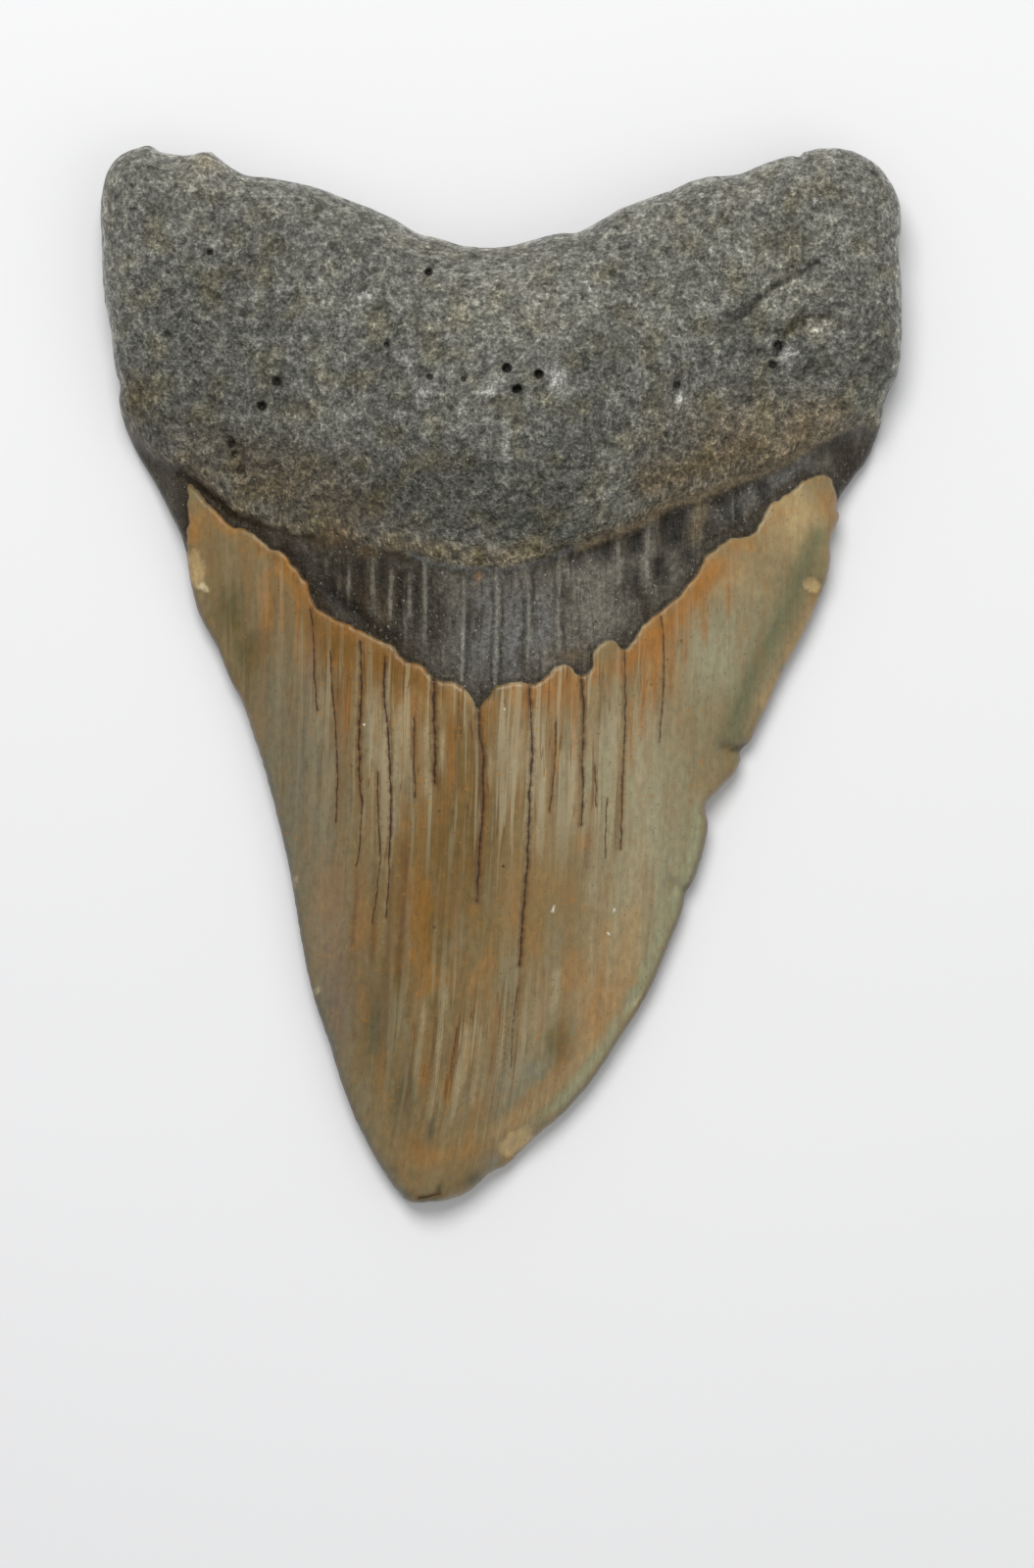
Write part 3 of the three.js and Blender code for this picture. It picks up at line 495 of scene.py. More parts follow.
ROOT_STAINS_AND_PAINTED_LIGHT = [
    # The ROOT_LIGHT patches at (1, 29.5) and (21, 33) and the ROOT_DARK band at (0, 14) are painted
    # light and shade: the top faces the light, the lower bulge faces away from it.
    (1, 29.5, 8, 3.6, ROOT_LIGHT, 0.5),
    (21, 33, 8, 5, ROOT_LIGHT, 0.35),
    (-22, 23, 6, 4.5, ROOT_DARK, 0.35),
    (0, 14, 17, 4.2, ROOT_DARK, 0.6),
    (21, 19.5, 7, 2.6, ROOT_BROWN, 0.5),
    (-18.6, 15.4, 5, 3.2, DARK_TISSUE, 0.75),
    (-12.6, 13.2, 4, 2.4, DARK_TISSUE, 0.55),
    (-24.4, 18.4, 3, 2.4, DARK_TISSUE, 0.4),
    (-29.6, 22.6, 1.2, 1.6, ROOT_BROWN, 0.6),
    (-13.3, 11, 1, 1.4, ROOT_BROWN, 0.5),
    (-29, 22, 1, 1, OLIVE, 0.5),
    (-23.5, 41.2, 1.3, 1, TAN, 0.45),
    (-28.6, 17, 1.8, 4, FLANK_DARK, 0.6),
    (29.9, 21, 0.8, 1.6, SLATE, 0.6),
    (28.5, 17, 1.5, 2.6, FLANK_DARK, 0.6),
    # The GLINT patches below are painted highlights on shiny lumps, by the foramina and on the top
    # of the middle bulge.
    (25.6, 27.3, 1.1, 0.8, GLINT, 0.5),
    (22.8, 25.2, 0.7, 0.7, GLINT, 0.5),
    (16.9, 28.8, 0.6, 0.4, GLINT, 0.55),
    (14.1, 21.7, 0.3, 0.25, GLINT, 0.9),
    (4.3, 23.1, 0.8, 0.9, GLINT, 0.5),
    (0.5, 18, 0.35, 2.6, GLINT, 0.4),
    (-0.9, 22.3, 0.6, 0.8, GLINT, 0.5),
    (6.8, 30.5, 1.2, 0.5, GLINT, 0.45),
    (-7.4, 24.6, 0.5, 0.7, GLINT, 0.45),
    (-6.2, 21.9, 0.6, 0.5, GLINT, 0.4),
    (-10.8, 29.9, 0.7, 0.35, GLINT, 0.4),
    (27.8, 36.8, 0.12, 1.3, ROOT_LIGHT, 0.7),
]

# Stains along a path: half the width, colour, strength, path. The dark bands that follow the furrows
# are painted shade in them.
BOURLETTE_BANDS = [
    # Painted shade: this band darkens the furrow on the bourlette's left side.
    (0.8, PIT_DARK, 0.8, [(-16.9, 9.8), (-14.6, 7.2), (-12.6, 5.6), (-10.4, 4), (-8.6, 2.8)]),
    (0.16, NEAR_BLACK, 0.7, [(16.1, 10.5), (19.2, 12), (21.4, 13.9), (24.5, 16.3)]),
    (0.6, BLUE_SLATE, 0.55, [(17.5, 12.6), (21, 15), (24.7, 17.2)]),
]
LIP_STAINS = [
    (-13.1, 10.9, 1.5, 0.8, ROOT_BROWN, 0.75),
    (-10.6, 9.6, 0.9, 0.5, ROOT_BROWN, 0.5),
    (-1.8, 9.4, 0.5, 0.8, OLIVE, 0.6),
    (-4.6, 9.8, 1.2, 0.6, OLIVE, 0.4),
]
LIP_BANDS = [
    (0.3, PALE_LIP, 0.75, [(6, 9.9), (8.7, 10.9), (11.4, 12), (13, 13.1), (16.6, 14.4),
                           (19.4, 15.6)]),
    (0.3, PALE_LIP, 0.6, [(19.4, 15.6), (22, 16.6), (25, 18.2)]),
    (0.14, SLATE_LIGHT, 0.8, [(-7, 9.4), (-5.2, 8.6), (-2, 8.2), (1, 8.2), (3.6, 8.9), (6, 10)]),
]
ROOT_BANDS = [
    (1.7, ROOT_BROWN, 0.6, [(12, 15), (18, 17), (26, 20.2)]),
    (0.85, LIP, 0.45, [(-9, 10.5), (-4, 9.3), (0, 9.1), (3, 9.7)]),
    # Painted shade: the PIT_DARK and NEAR_BLACK bands below lie in the root's furrows.
    (0.3, PIT_DARK, 0.85, [(18.4, 28), (19.7, 28.8), (20.6, 29.9), (22.2, 31), (25.1, 32.7)]),
    (0.32, PIT_DARK, 0.85, [(22.1, 25.4), (22.7, 27), (24, 28.3), (26.2, 28.5)]),
    (0.22, ROOT_LIGHT, 0.7, [(19, 27.6), (20.6, 28.9), (21.6, 30.1), (23.6, 31.3)]),
    (0.3, PIT_DARK, 0.6, [(-21.9, 18.9), (-20.8, 18.1), (-20.6, 16.2)]),
    (0.3, NEAR_BLACK, 0.6, [(-25.6, 16.3), (-23.4, 14.5), (-21.5, 13), (-19.4, 12)]),
]
FIELD_BANDS = [
    (1.5, FIELD_GOLD, 0.95, [(-14.6, 4.2), (-13.2, 2.4), (-10.6, 1.2), (-8, 0)]),
    (0.9, FIELD_GOLD, 0.7, [(-8, 0), (-5.4, -1.4), (-3, -2.6)]),
    (0.9, DEEP_ORANGE, 0.75, [(9.6, 0.4), (11.4, 2), (13.4, 3.8), (15.2, 5.9), (17, 8)]),
    (0.7, DEEP_ORANGE, 0.5, [(1.4, -2.2), (3.4, -1.6), (5, -0.8), (7.2, 0.2)]),
]
ENAMEL_BANDS = [
    (0.95, DARK_GREEN, 0.9, [(25.4, 11), (23.2, 5.6), (20.2, -0.2), (18.4, -5)]),
    (0.7, MARGIN_TAN, 0.7, [(25.6, 5.6), (23.9, 2.2), (21.5, -2.2)]),
    (0.5, RUST, 0.6, [(-19, 10.3), (-17, 8.6), (-15.4, 5.8), (-12.5, 3.4), (-9, 1.4), (-6, -0.4)]),
    (0.45, ORANGE, 0.5, [(11.8, 3.1), (13.6, 4.4), (15.6, 6.6), (17.4, 9)]),
    (0.8, MARGIN_TAN, 0.6, [(10.6, -19.6), (9.6, -25), (7, -30.3), (3, -34.6), (-0.4, -37)]),
    (0.3, ORANGE, 0.35, [(8.6, -20), (7.4, -26.6), (4.6, -31.6), (1.6, -34.6)]),
]

# Fresh chips with a sharp rim: x, y, half the length, half the width, turn, colour, strength
CHIPS = [
    (-24.6, 8.5, 1.5, 0.75, 100, PALE_TAN, 0.75),
    (-24.1, 7.1, 0.6, 0.22, 150, CREAM, 0.9),
    (25.1, 7.2, 0.75, 0.55, 150, PALE_TAN, 0.85),
    (-16.7, -16.8, 0.5, 0.22, 80, CREAM, 0.85),
    (-14.9, -25.6, 0.45, 0.3, 60, CREAM, 0.8),
    (10.8, -26.4, 0.75, 0.3, 50, CREAM, 0.85),
    (1.1, -37.8, 1.7, 0.8, 38, PALE_TAN, 0.85),
    (-0.5, -39.3, 0.6, 0.35, 45, SLATE, 0.8),
    (22.7, 0.5, 0.5, 0.25, 70, SLATE, 0.8),
    (14.9, -17.3, 0.7, 0.22, 10, NEAR_BLACK, 0.7),
    (19.2, -6, 0.75, 0.3, 15, NEAR_BLACK, 0.65),
]

# Small specks of the enamel: x, y, radius, colour
SPECKS = [
    (-10.9, -4.1, 0.1, WHITE), (9.1, -18.9, 0.08, WHITE), (8.6, -20.8, 0.08, WHITE),
    (0.3, -2.9, 0.1, WHITE), (4.2, -18.9, 0.07, WHITE),
    (-5.3, -20.3, 0.16, NEAR_BLACK), (-4.9, -11, 0.13, NEAR_BLACK), (0.2, -15.4, 0.13, NEAR_BLACK),
    (14.4, 2.6, 0.14, RUST), (13.3, 1.1, 0.13, RUST), (12, -0.9, 0.12, RUST),
]

# Where the enamel's broken edge is pale: x from, x to, strength
PALE_EDGE = [
    (-20, -17.5, 0.7), (-9.6, -8, 0.8), (-2.9, -1.7, 0.9), (0.6, 2.4, 0.9), (3.6, 6.4, 0.9),
    (6.8, 9.2, 0.8), (9.8, 12, 0.8), (17.5, 24, 0.6), (24, 27, 0.35),
]


def smoothstep(value, low, high):
    t = np.clip((value - low) / (high - low), 0, 1)
    return t * t * (3 - 2 * t)


def plateau(value, start, full, fade, end):
    """Rises from 0 to 1 between the first two values, and falls back between the last two."""
    return smoothstep(value, start, full) * (1 - smoothstep(value, fade, end))


def bell(value, middle, width):
    return np.exp(-(((value - middle) / width) ** 2))


def lerp(a, b, share):
    return a + (b - a) * share


def curve_through(points, spacing, closed=False):
    """Evenly spaced points of a smooth curve through the listed ones."""
    knots = np.array(points, float)
    if closed:
        padded = np.vstack([knots[-1], knots, knots[0], knots[1]])
    else:
        padded = np.vstack([2 * knots[0] - knots[1], knots, 2 * knots[-1] - knots[-2]])
    p0, p1, p2, p3 = padded[:-3], padded[1:-2], padded[2:-1], padded[3:]
    g0, g1, g2 = (
        np.sqrt(np.linalg.norm(b - a, axis=1))[:, None] for a, b in ((p0, p1), (p1, p2), (p2, p3))
    )
    leave = ((p1 - p0) / g0 - (p2 - p0) / (g0 + g1) + (p2 - p1) / g1) * g1
    arrive = ((p2 - p1) / g1 - (p3 - p1) / (g1 + g2) + (p3 - p2) / g2) * g1
    t = np.linspace(0, 1, SPAN_POINTS, endpoint=False)[None, :, None]
    fine = (
        p1[:, None] * (2 * t**3 - 3 * t**2 + 1)
        + p2[:, None] * (3 * t**2 - 2 * t**3)
        + leave[:, None] * (t**3 - 2 * t**2 + t)
        + arrive[:, None] * (t**3 - t**2)
    ).reshape(-1, 2)
    fine = np.vstack([fine, p2[-1]])
    run = np.concatenate([[0], np.cumsum(np.linalg.norm(np.diff(fine, axis=0), axis=1))])
    at = np.linspace(0, run[-1], int(round(run[-1] / spacing)) + 1)
    line = np.stack([np.interp(at, run, fine[:, 0]), np.interp(at, run, fine[:, 1])], axis=1)
    return line[:-1] if closed else line


def normals_of(line, closed=False):
    """Unit vectors to the left of a line, one for each of its points."""
    if closed:
        along = np.roll(line, -1, 0) - np.roll(line, 1, 0)
    else:
        along = np.gradient(line, axis=0)
    along = along / np.linalg.norm(along, axis=1)[:, None]
    return np.stack([-along[:, 1], along[:, 0]], axis=1)


def grain(places, size, layer, stretch=1.0):
    """Smooth noise from about -1 to 1 with features of that size, drawn out along Y."""
    return np.fromiter(
        (noise.noise((x / size, y / (size * stretch), layer)) for x, y in places),
        float,
        len(places),
    )


def distance_to(line, places):
    """Distance from each place to the nearest point of a line."""
    tree = kdtree.KDTree(len(line))
    for index, (x, y) in enumerate(line):
        tree.insert((x, y, 0), index)
    tree.balance()
    return np.fromiter((tree.find((x, y, 0))[2] for x, y in places), float, len(places))


def near_line(places, line, reach):
    """Numbers of the places within the line's box, widened by the reach."""
    return np.flatnonzero(((places > line.min(0) - reach) & (places < line.max(0) + reach)).all(1))


def turned(places, x, y, turn):
    """Distances along and aside from (x, y), in a frame turned by that many degrees."""
    c, s = math.cos(math.radians(turn)), math.sin(math.radians(turn))
    right, up = places[:, 0] - x, places[:, 1] - y
    return right * c + up * s, up * c - right * s


def is_inside(line, places):
    x, y = places.T
    inside = np.zeros(len(places), bool)
    for (ax, ay), (bx, by) in zip(line, np.roll(line, -1, 0)):
        if ay != by:
            inside ^= ((ay > y) != (by > y)) & (x < ax + (bx - ax) * (y - ay) / (by - ay))
    return inside


def value_at(table, y):
    """Smooth value at y of a table of (y, value): a cubic through the entries."""
    at, value = np.array(table, float).T
    slope = np.empty_like(at)
    slope[1:-1] = (value[2:] - value[:-2]) / (at[2:] - at[:-2])
    slope[0] = (value[1] - value[0]) / (at[1] - at[0])
    slope[-1] = (value[-1] - value[-2]) / (at[-1] - at[-2])
    held = np.clip(y, at[0], at[-1])
    index = np.clip(np.searchsorted(at, held, side="right") - 1, 0, len(at) - 2)
    step = at[index + 1] - at[index]
    rise = value[index + 1] - value[index]
    t = (held - at[index]) / step
    bend0 = slope[index] * step - rise
    bend1 = rise - slope[index + 1] * step
    return value[index] + t * rise + t * (1 - t) * ((1 - t) * bend0 + t * bend1)


def worn_outline():
    """The outline with small scallops worn into it, always towards the inside."""
    line = curve_through(
        LEFT_FLANK + LEFT_LOBE + NOTCH + RIGHT_LOBE + RIGHT_FLANK
        + RIGHT_CUTTING_EDGE + BROKEN_TIP + LEFT_CUTTING_EDGE,
        OUTLINE_STEP,
        True,
    )
    on_root = root_rim(line[:, 1])
    scallops = 0.09 * (0.5 + 0.5 * grain(line, 0.55, 3)) + 0.07 * (0.5 + 0.5 * grain(line, 1.6, 4))
    pores = 0.1 * (0.5 + 0.5 * grain(line, 0.9, 6)) + 0.1 * (0.5 + 0.5 * grain(line, 2.4, 7))
    inward = lerp(scallops, pores, on_root)
    return line - normals_of(line, True) * inward[:, None]


def rough_line(points, amount, size, layer):
    line = curve_through(points, ROW_STEP)
    return line + normals_of(line) * (amount * grain(line, size, layer))[:, None]


def root_rim(y):
    """Share of the root's thick rim, against the crown's sharp one."""
    return smoothstep(y, *RIM_CHANGE)


outline = worn_outline()
enamel_line = rough_line(ENAMEL_LINE, 0.16, 0.7, 8)
crown_region = np.vstack([enamel_line, [(FAR, 0), (FAR, -FAR), (-FAR, -FAR), (-FAR, 0)]])
step_line = rough_line(STEP_LINE, 0.3, 1.3, 9)
root_region = np.vstack([step_line, [(FAR, FAR), (-FAR, FAR)]])
crack_lines = [(width, rough_line(path, 0.09, 0.9, 10)) for width, path in CRACKS]


def dense(line, closed=False):
    """The same line with four times as many points, for measuring distances."""
    ends = np.roll(line, -1, 0) if closed else line[1:]
    starts = line if closed else line[:-1]
    steps = [lerp(starts, ends, share) for share in (0, 0.25, 0.5, 0.75)]
    return np.vstack([np.stack(steps, axis=1).reshape(-1, 2), line[-1:]])


outline_dense = dense(outline, True)


def signed_depth(line, region, places):
    distance = distance_to(dense(line), places)
    return np.where(is_inside(region, places), distance, -distance)


def across(x, y):
    """Place across the tooth, from -1 at the left side to 1 at the right one."""
    left = value_at(LEFT_SIDE, y)
    right = value_at(RIGHT_SIDE, y)
    return np.clip((2 * x - left - right) / (right - left), -1, 1)


def flow_x(x, y):
    """Sideways place in the enamel's grain, which leans with the crown."""
    middle = (value_at(LEFT_SIDE, y) + value_at(RIGHT_SIDE, y)) / 2
    return x - GRAIN_LEAN * middle


def flow_at(x, y):
    return flow_x(np.array([x]), np.array([y]))[0]


def arch(u):
    """Arch of the crown: full in the middle, drawn out thin towards the cutting edges."""
    return 0.75 * (1 - np.abs(u) ** 2.1) + 0.25 * np.cos(u * math.pi / 2) ** 2


def furrow_depth(places):
    depth = np.zeros(len(places))
    for width, full, path in FURROWS:
        line = curve_through(path, PATH_STEP)
        near = near_line(places, line, 3 * width)
        depth[near] += full * bell(distance_to(line, places[near]), 0, width)
    return depth


def lump_height(places):
    height = np.zeros(len(places))
    for x, y, long, short, turn, full in LUMPS:
        along, aside = turned(places, x, y, turn)
        height += full * np.exp(-((along / long) ** 2) - (aside / short) ** 2)
    return height


def pit_depth(places, pits):
    depth = np.zeros(len(places))
    for x, y, radius, full in pits:
        away = np.hypot(places[:, 0] - x, places[:, 1] - y) / radius
        near = away < 3
        ragged = 1 + 0.35 * grain(places[near], 0.45, 61)
        depth[near] += full * (1 - smoothstep(away[near] * ragged, 0.4, 1.15))
    return depth


def small_pores():
    """Seeded small pores of the root's tissue, in the form of PITS."""
    rng = np.random.default_rng(SEED)
    spots = rng.uniform(*PORE_BOX, (PORE_TRIES, 2))
    clear = signed_depth(step_line, root_region, spots) > PORE_CLEARANCE
    spots = spots[is_inside(outline, spots) & clear]
    radii = rng.uniform(*PORE_RADIUS, len(spots))
    return [(x, y, r, PORE_DEPTH * r) for (x, y), r in zip(spots, radii)]


def measure(places):
    """Distances that both the shape and the colours need."""
    return {
        "rim": distance_to(outline_dense, places),
        "enamel": signed_depth(enamel_line, crown_region, places),
        "root": signed_depth(step_line, root_region, places),
        "crack": crack_distance(places),
    }


def crack_distance(places):
    """Distance to the nearest crack, less what makes a thin one thinner."""
    nearest = np.full(len(places), 1.0)
    for width, line in crack_lines:
        near = near_line(places, line, 1)
        reach = distance_to(dense(line), places[near]) * (CRACK_WIDTH / width)
        nearest[near] = np.minimum(nearest[near], reach)
    return nearest


def crown_surface(places, enamel):
    x, y = places.T
    edge = lerp(EDGE_TOP, SHOULDER_EDGE_TOP, smoothstep(y, 0, SHOULDER_Y))
    bare = ENAMEL_THICKNESS * (1 - smoothstep(enamel, -0.05, 0.1))
    waves = np.stack([flow_x(x, y), y], axis=1)
    undulation = 0.05 * grain(waves, 1.5, 12, 9) + 0.03 * grain(waves, 0.7, 13, 14)
    return edge + value_at(ARCH_HEIGHT, y) * arch(across(x, y)) - bare + undulation


def root_surface(places):
    x, y = places.T
    flank = lerp(SHOULDER_THICKNESS, LOBE_THICKNESS, smoothstep(y, SHOULDER_Y, LOBE_Y))
    reach = np.where(y > BULGE["y"], BULGE["to_notch"], BULGE["to_tip"])
    away = ((x - BULGE["x"]) / BULGE["across"]) ** 2 + ((y - BULGE["y"]) / reach) ** 2
    coarse = 0.16 * grain(places, 3.2, 0) + 0.16 * grain(places, 1.7, 5)
    fine = 0.19 * grain(places, 0.95, 21) + 0.15 * grain(places, 0.5, 22)
    return flank + BULGE["height"] * np.exp(-away) + coarse + fine


def streak_share(places, streaks):
    """How much of the streaks lies over each place, 0 to 1; they fade out at both ends."""
    side = flow_x(*places.T) + 0.12 * grain(places, 1.2, 43, 3)
    share = np.zeros(len(places))
    for x, top, bottom, half in streaks:
        at = flow_at(x, (top + bottom) / 2)
        fade = plateau(places[:, 1], bottom - 0.8, bottom + 1, top - 0.7, top + 0.5)
        share = np.maximum(share, fade * np.exp(-(((side - at) / half) ** 4)))
    return share


def ridge_relief(places):
    """Ridges of the bourlette stand up, its gaps and blocks lie deeper."""
    low = np.maximum(streak_share(places, BOURLETTE_GAPS), streak_share(places, BOURLETTE_BLOCKS))
    return streak_share(places, BOURLETTE_RIDGES) - low


def upper_nominal(places, seen):
    """Upper face before its rim is rounded."""
    half = lerp(STEP_HALF_WIDTH, SOFT_STEP_HALF_WIDTH, smoothstep(places[:, 0], -6, 4))
    root_share = smoothstep(seen["root"] / half, -1, 1)
    bourlette = (seen["enamel"] < 0) * (1 - root_share)
    striation = 0.06 * bourlette * grain(places, 0.5, 15, 8)
    body = lerp(crown_surface(places, seen["enamel"]), root_surface(places), root_share)
    ridges = RIDGE_HEIGHT * bourlette * ridge_relief(places)
    return body + striation + ridges - furrow_depth(places) + lump_height(places)


def lower_nominal(places):
    """Lower face before its rim is rounded: flat where it rests, hollow in the middle."""
    x, y = places.T
    away = (x / HOLLOW["across"]) ** 2 + ((y - HOLLOW["y"]) / HOLLOW["along"]) ** 2
    hollow = np.maximum(0, HOLLOW["depth"] * np.exp(-away) - HOLLOW["rim"])
    ledge = LABIAL_LEDGE * smoothstep(-labial_depth(x, y), -0.4, 0.4) * smoothstep(hollow, 0, 0.3)
    rise = smoothstep(np.abs(across(x, y)), *FLAT_TO_EDGE) / smoothstep(1, *FLAT_TO_EDGE)
    return hollow + ledge + EDGE_LIFT * rise * (1 - root_rim(y))


def labial_depth(x, y):
    """Distance into the enamel of the labial face, whose edge is a shallow U."""
    return LABIAL_EDGE["y"] + LABIAL_EDGE["rise"] * (x / LABIAL_EDGE["half"]) ** 2 - y


def rounding(distance, radius):
    return np.sqrt(1 - (1 - np.clip(distance / radius, 0, 1)) ** 2)


def upper_height(places, seen, pores):
    top = upper_nominal(places, seen)
    rim = lerp(lower_nominal(places), top, RIM_HEIGHT)
    radius = lerp(CROWN_RIM, ROOT_RIM_ABOVE, root_rim(places[:, 1]))
    groove = CRACK_DEPTH * (1 - smoothstep(seen["crack"], 0.02, 0.16)) * (seen["enamel"] > 0)
    cut = pit_depth(places, PITS) + pit_depth(places, pores) + groove
    return lerp(rim, top, rounding(seen["rim"], radius)) - cut * smoothstep(seen["rim"], 0, 0.4)


def lower_height(places, seen_rim):
    low = lower_nominal(places)
    fine = 0.08 * grain(places, 1.1, 31) * root_rim(places[:, 1])
    top = upper_nominal(places, measure(places))
    rim = lerp(low, top, RIM_HEIGHT)
    radius = lerp(CROWN_RIM, ROOT_RIM_BELOW, root_rim(places[:, 1]))
    return lerp(rim, low, rounding(seen_rim, radius)) + np.abs(fine) * smoothstep(seen_rim, 0, 1)


def ring(distance, step=1):
    """A ring of places at one distance inside the outline."""
    places = (outline - normals_of(outline, True) * distance)[::step]
    clear = is_inside(outline, places) & (distance_to(outline_dense, places) > 0.85 * distance)
    return places[clear]


def rows(line, sides):
    """Rows of places along a line, each at one distance to its left."""
    return np.vstack([line + normals_of(line) * side for side in sides])


def pit_rings(pits):
    """The middle of each pit, and three rings of places round it."""
    places = []
    for x, y, radius, _ in pits:
        places.append((x, y))
        for reach, count in ((0.55, 7), (0.85, 10), (1.2, 12)):
            away = reach * radius
            for turn in np.linspace(0, 2 * math.pi, count, endpoint=False):
                places.append((x + away * math.cos(turn), y + away * math.sin(turn)))
    return np.array(places)


def grid(spacing, rng):
    """Staggered rows over the outline's box, each place moved a little off its row."""
    height = spacing * math.sqrt(3) / 2
    wide, high = GRID_HALF
    row, column = np.meshgrid(np.arange(int(2 * high / height)), np.arange(int(2 * wide / spacing)))
    x = (column + (row % 2) / 2) * spacing - wide
    y = row * height - high
    places = np.stack([x.ravel(), y.ravel()], axis=1)
    return places + rng.uniform(-GRID_SHIFT, GRID_SHIFT, places.shape) * spacing


def thin_out(places, taken, gap):
    """Leaves out the places that lie nearer than the gap to one that is taken, or to another."""
    tree = kdtree.KDTree(len(taken) + len(places))
    for index, (x, y) in enumerate(np.vstack([taken, places])):
        tree.insert((x, y, 0), index)
    tree.balance()
    kept = np.ones(len(taken) + len(places), bool)
    for index in range(len(taken), len(kept)):
        x, y = places[index - len(taken)]
        for _, other, _ in tree.find_range((x, y, 0), gap):
            if other != index and kept[other] and other < index:
                kept[index] = False
                break
    return places[kept[len(taken):]]


def add_places(taken, places, clearance, gap):
    """The taken places and those of the new ones that are clear of the rim and of each other."""
    clear = is_inside(outline, places) & (distance_to(outline_dense, places) > clearance)
    return np.vstack([taken, thin_out(places[clear], taken, gap)])


def part_at(places):
    on_root = signed_depth(step_line, root_region, places) > -0.6
    on_enamel = signed_depth(enamel_line, crown_region, places) > 0.2
    return np.where(on_root, "root", np.where(on_enamel, "crown", "band"))


def upper_places():
    rng = np.random.default_rng(SEED)
    taken = outline
    special = [
        (pit_rings(PITS), 0.05),
        (pit_rings([(x, y, radius, 0) for x, y, radius, _ in SPECKS]), 0.04),
        (ring(0.07), 0.11),
        (rows(enamel_line, (-0.16, -0.04, 0.08, 0.22)), 0.085),
        (ring(0.2), 0.13),
        (np.vstack([rows(line, (0, -0.13, 0.13)) for _, line in crack_lines]), 0.1),
        (ring(0.42), 0.17),
        (rows(step_line, (-0.6, -0.3, 0, 0.3, 0.6)), 0.2),
    ]
    for places, gap in special:
        taken = add_places(taken, places, 0.05, gap)
    for spacing, wanted in ((ROOT_GRID, "root"), (BOURLETTE_GRID, "band"), (CROWN_GRID, "crown")):
        places = grid(spacing, rng)
        places = places[is_inside(outline, places)]
        taken = add_places(taken, places[part_at(places) == wanted], 0.12, GRID_GAP * spacing)
    return taken


def lower_places():
    rng = np.random.default_rng(SEED + 1)
    taken = outline
    for places, gap in ((ring(0.12, 1), 0.2), (ring(0.4, 2), 0.3), (ring(0.9, 3), 0.45)):
        taken = np.vstack([taken, thin_out(places, taken, gap)])
    return add_places(taken, grid(UNDER_GRID, rng), 0.3, GRID_GAP * UNDER_GRID)


def triangulate(places):
    """Triangles between the places, counter-clockwise seen from above."""
    count = len(outline)
    edges = [(index, (index + 1) % count) for index in range(count)]
    made = delaunay_2d_cdt([Vector(place) for place in places], edges, [], 0, 1e-6, False)
    points = np.array([tuple(point) for point in made[0]])
    if points.shape != places.shape or np.abs(points - places).max() > 1e-3:
        raise RuntimeError("the triangulation moved or added a place")
    triangles = np.array(made[2])
    middle = places[triangles].mean(axis=1)
    triangles = triangles[is_inside(outline, middle)]
    a, b, c = (places[triangles[:, corner]] for corner in range(3))
    turn = (b[:, 0] - a[:, 0]) * (c[:, 1] - a[:, 1]) - (b[:, 1] - a[:, 1]) * (c[:, 0] - a[:, 0])
    triangles[turn < 0] = triangles[turn < 0][:, ::-1]
    return triangles


def own_color(seen):
    """Linear colour of a surface that looks like that, 0 to 255, under the scene's light."""
    share = np.array(seen, float) / 255
    linear = np.where(share > 0.04045, ((share + 0.055) / 1.055) ** 2.4, share / 12.92)
    return np.maximum(linear - SHEEN, DARKEST)


def paint(tint, color, share):
    tint += (own_color(color) - tint) * np.clip(share, 0, 1)[:, None]


def paint_stains_and_light(tint, places, stains_and_light, mask):
    """Soft ovals that lean with the enamel's grain, with a ragged rim."""
    side = flow_x(*places.T)
    ragged = 1 + 0.35 * grain(places, 1.1, 41, 2.5) + 0.2 * grain(places, 0.5, 42, 2)
    for x, y, half_x, half_y, color, strength in stains_and_light:
        away = ((side - flow_at(x, y)) / half_x) ** 2 + ((places[:, 1] - y) / half_y) ** 2
        paint(tint, color, mask * strength * np.exp(-away * ragged))


def paint_bands(tint, places, bands, mask):
    """Soft bands along a path, with a ragged rim."""
    ragged = 1 + 0.4 * grain(places, 0.9, 69, 1.5) + 0.25 * grain(places, 0.4, 70)
    for half, color, strength, path in bands:
        line = curve_through(path, PATH_STEP)
        near = near_line(places, line, 3 * half)
        share = np.zeros(len(places))
        away = distance_to(line, places[near]) / half
        share[near] = strength * np.exp(-ragged[near] * away**2)
        paint(tint, color, mask * share)


def paint_streaks(tint, places, streaks, color, strength, mask):
    """Soft strips along the enamel's grain that fade out at both ends."""
    patchy = 0.75 + 0.5 * grain(places, 0.8, 44, 4)
    paint(tint, color, mask * strength * patchy * streak_share(places, streaks))


def paint_chips(tint, places, mask):
    ragged = 1 + 0.3 * grain(places, 0.6, 49) + 0.15 * grain(places, 0.3, 50)
    for x, y, long, short, turn, color, strength in CHIPS:
        along, aside = turned(places, x, y, turn)
        away = np.hypot(along / long, aside / short) * ragged
        paint(tint, color, mask * strength * (1 - smoothstep(away, 0.8, 1.15)))


def paint_specks(tint, places, mask):
    for x, y, radius, color in SPECKS:
        away = np.hypot(places[:, 0] - x, places[:, 1] - y) / radius
        paint(tint, color, mask * (1 - smoothstep(away, 0.7, 1.25)))


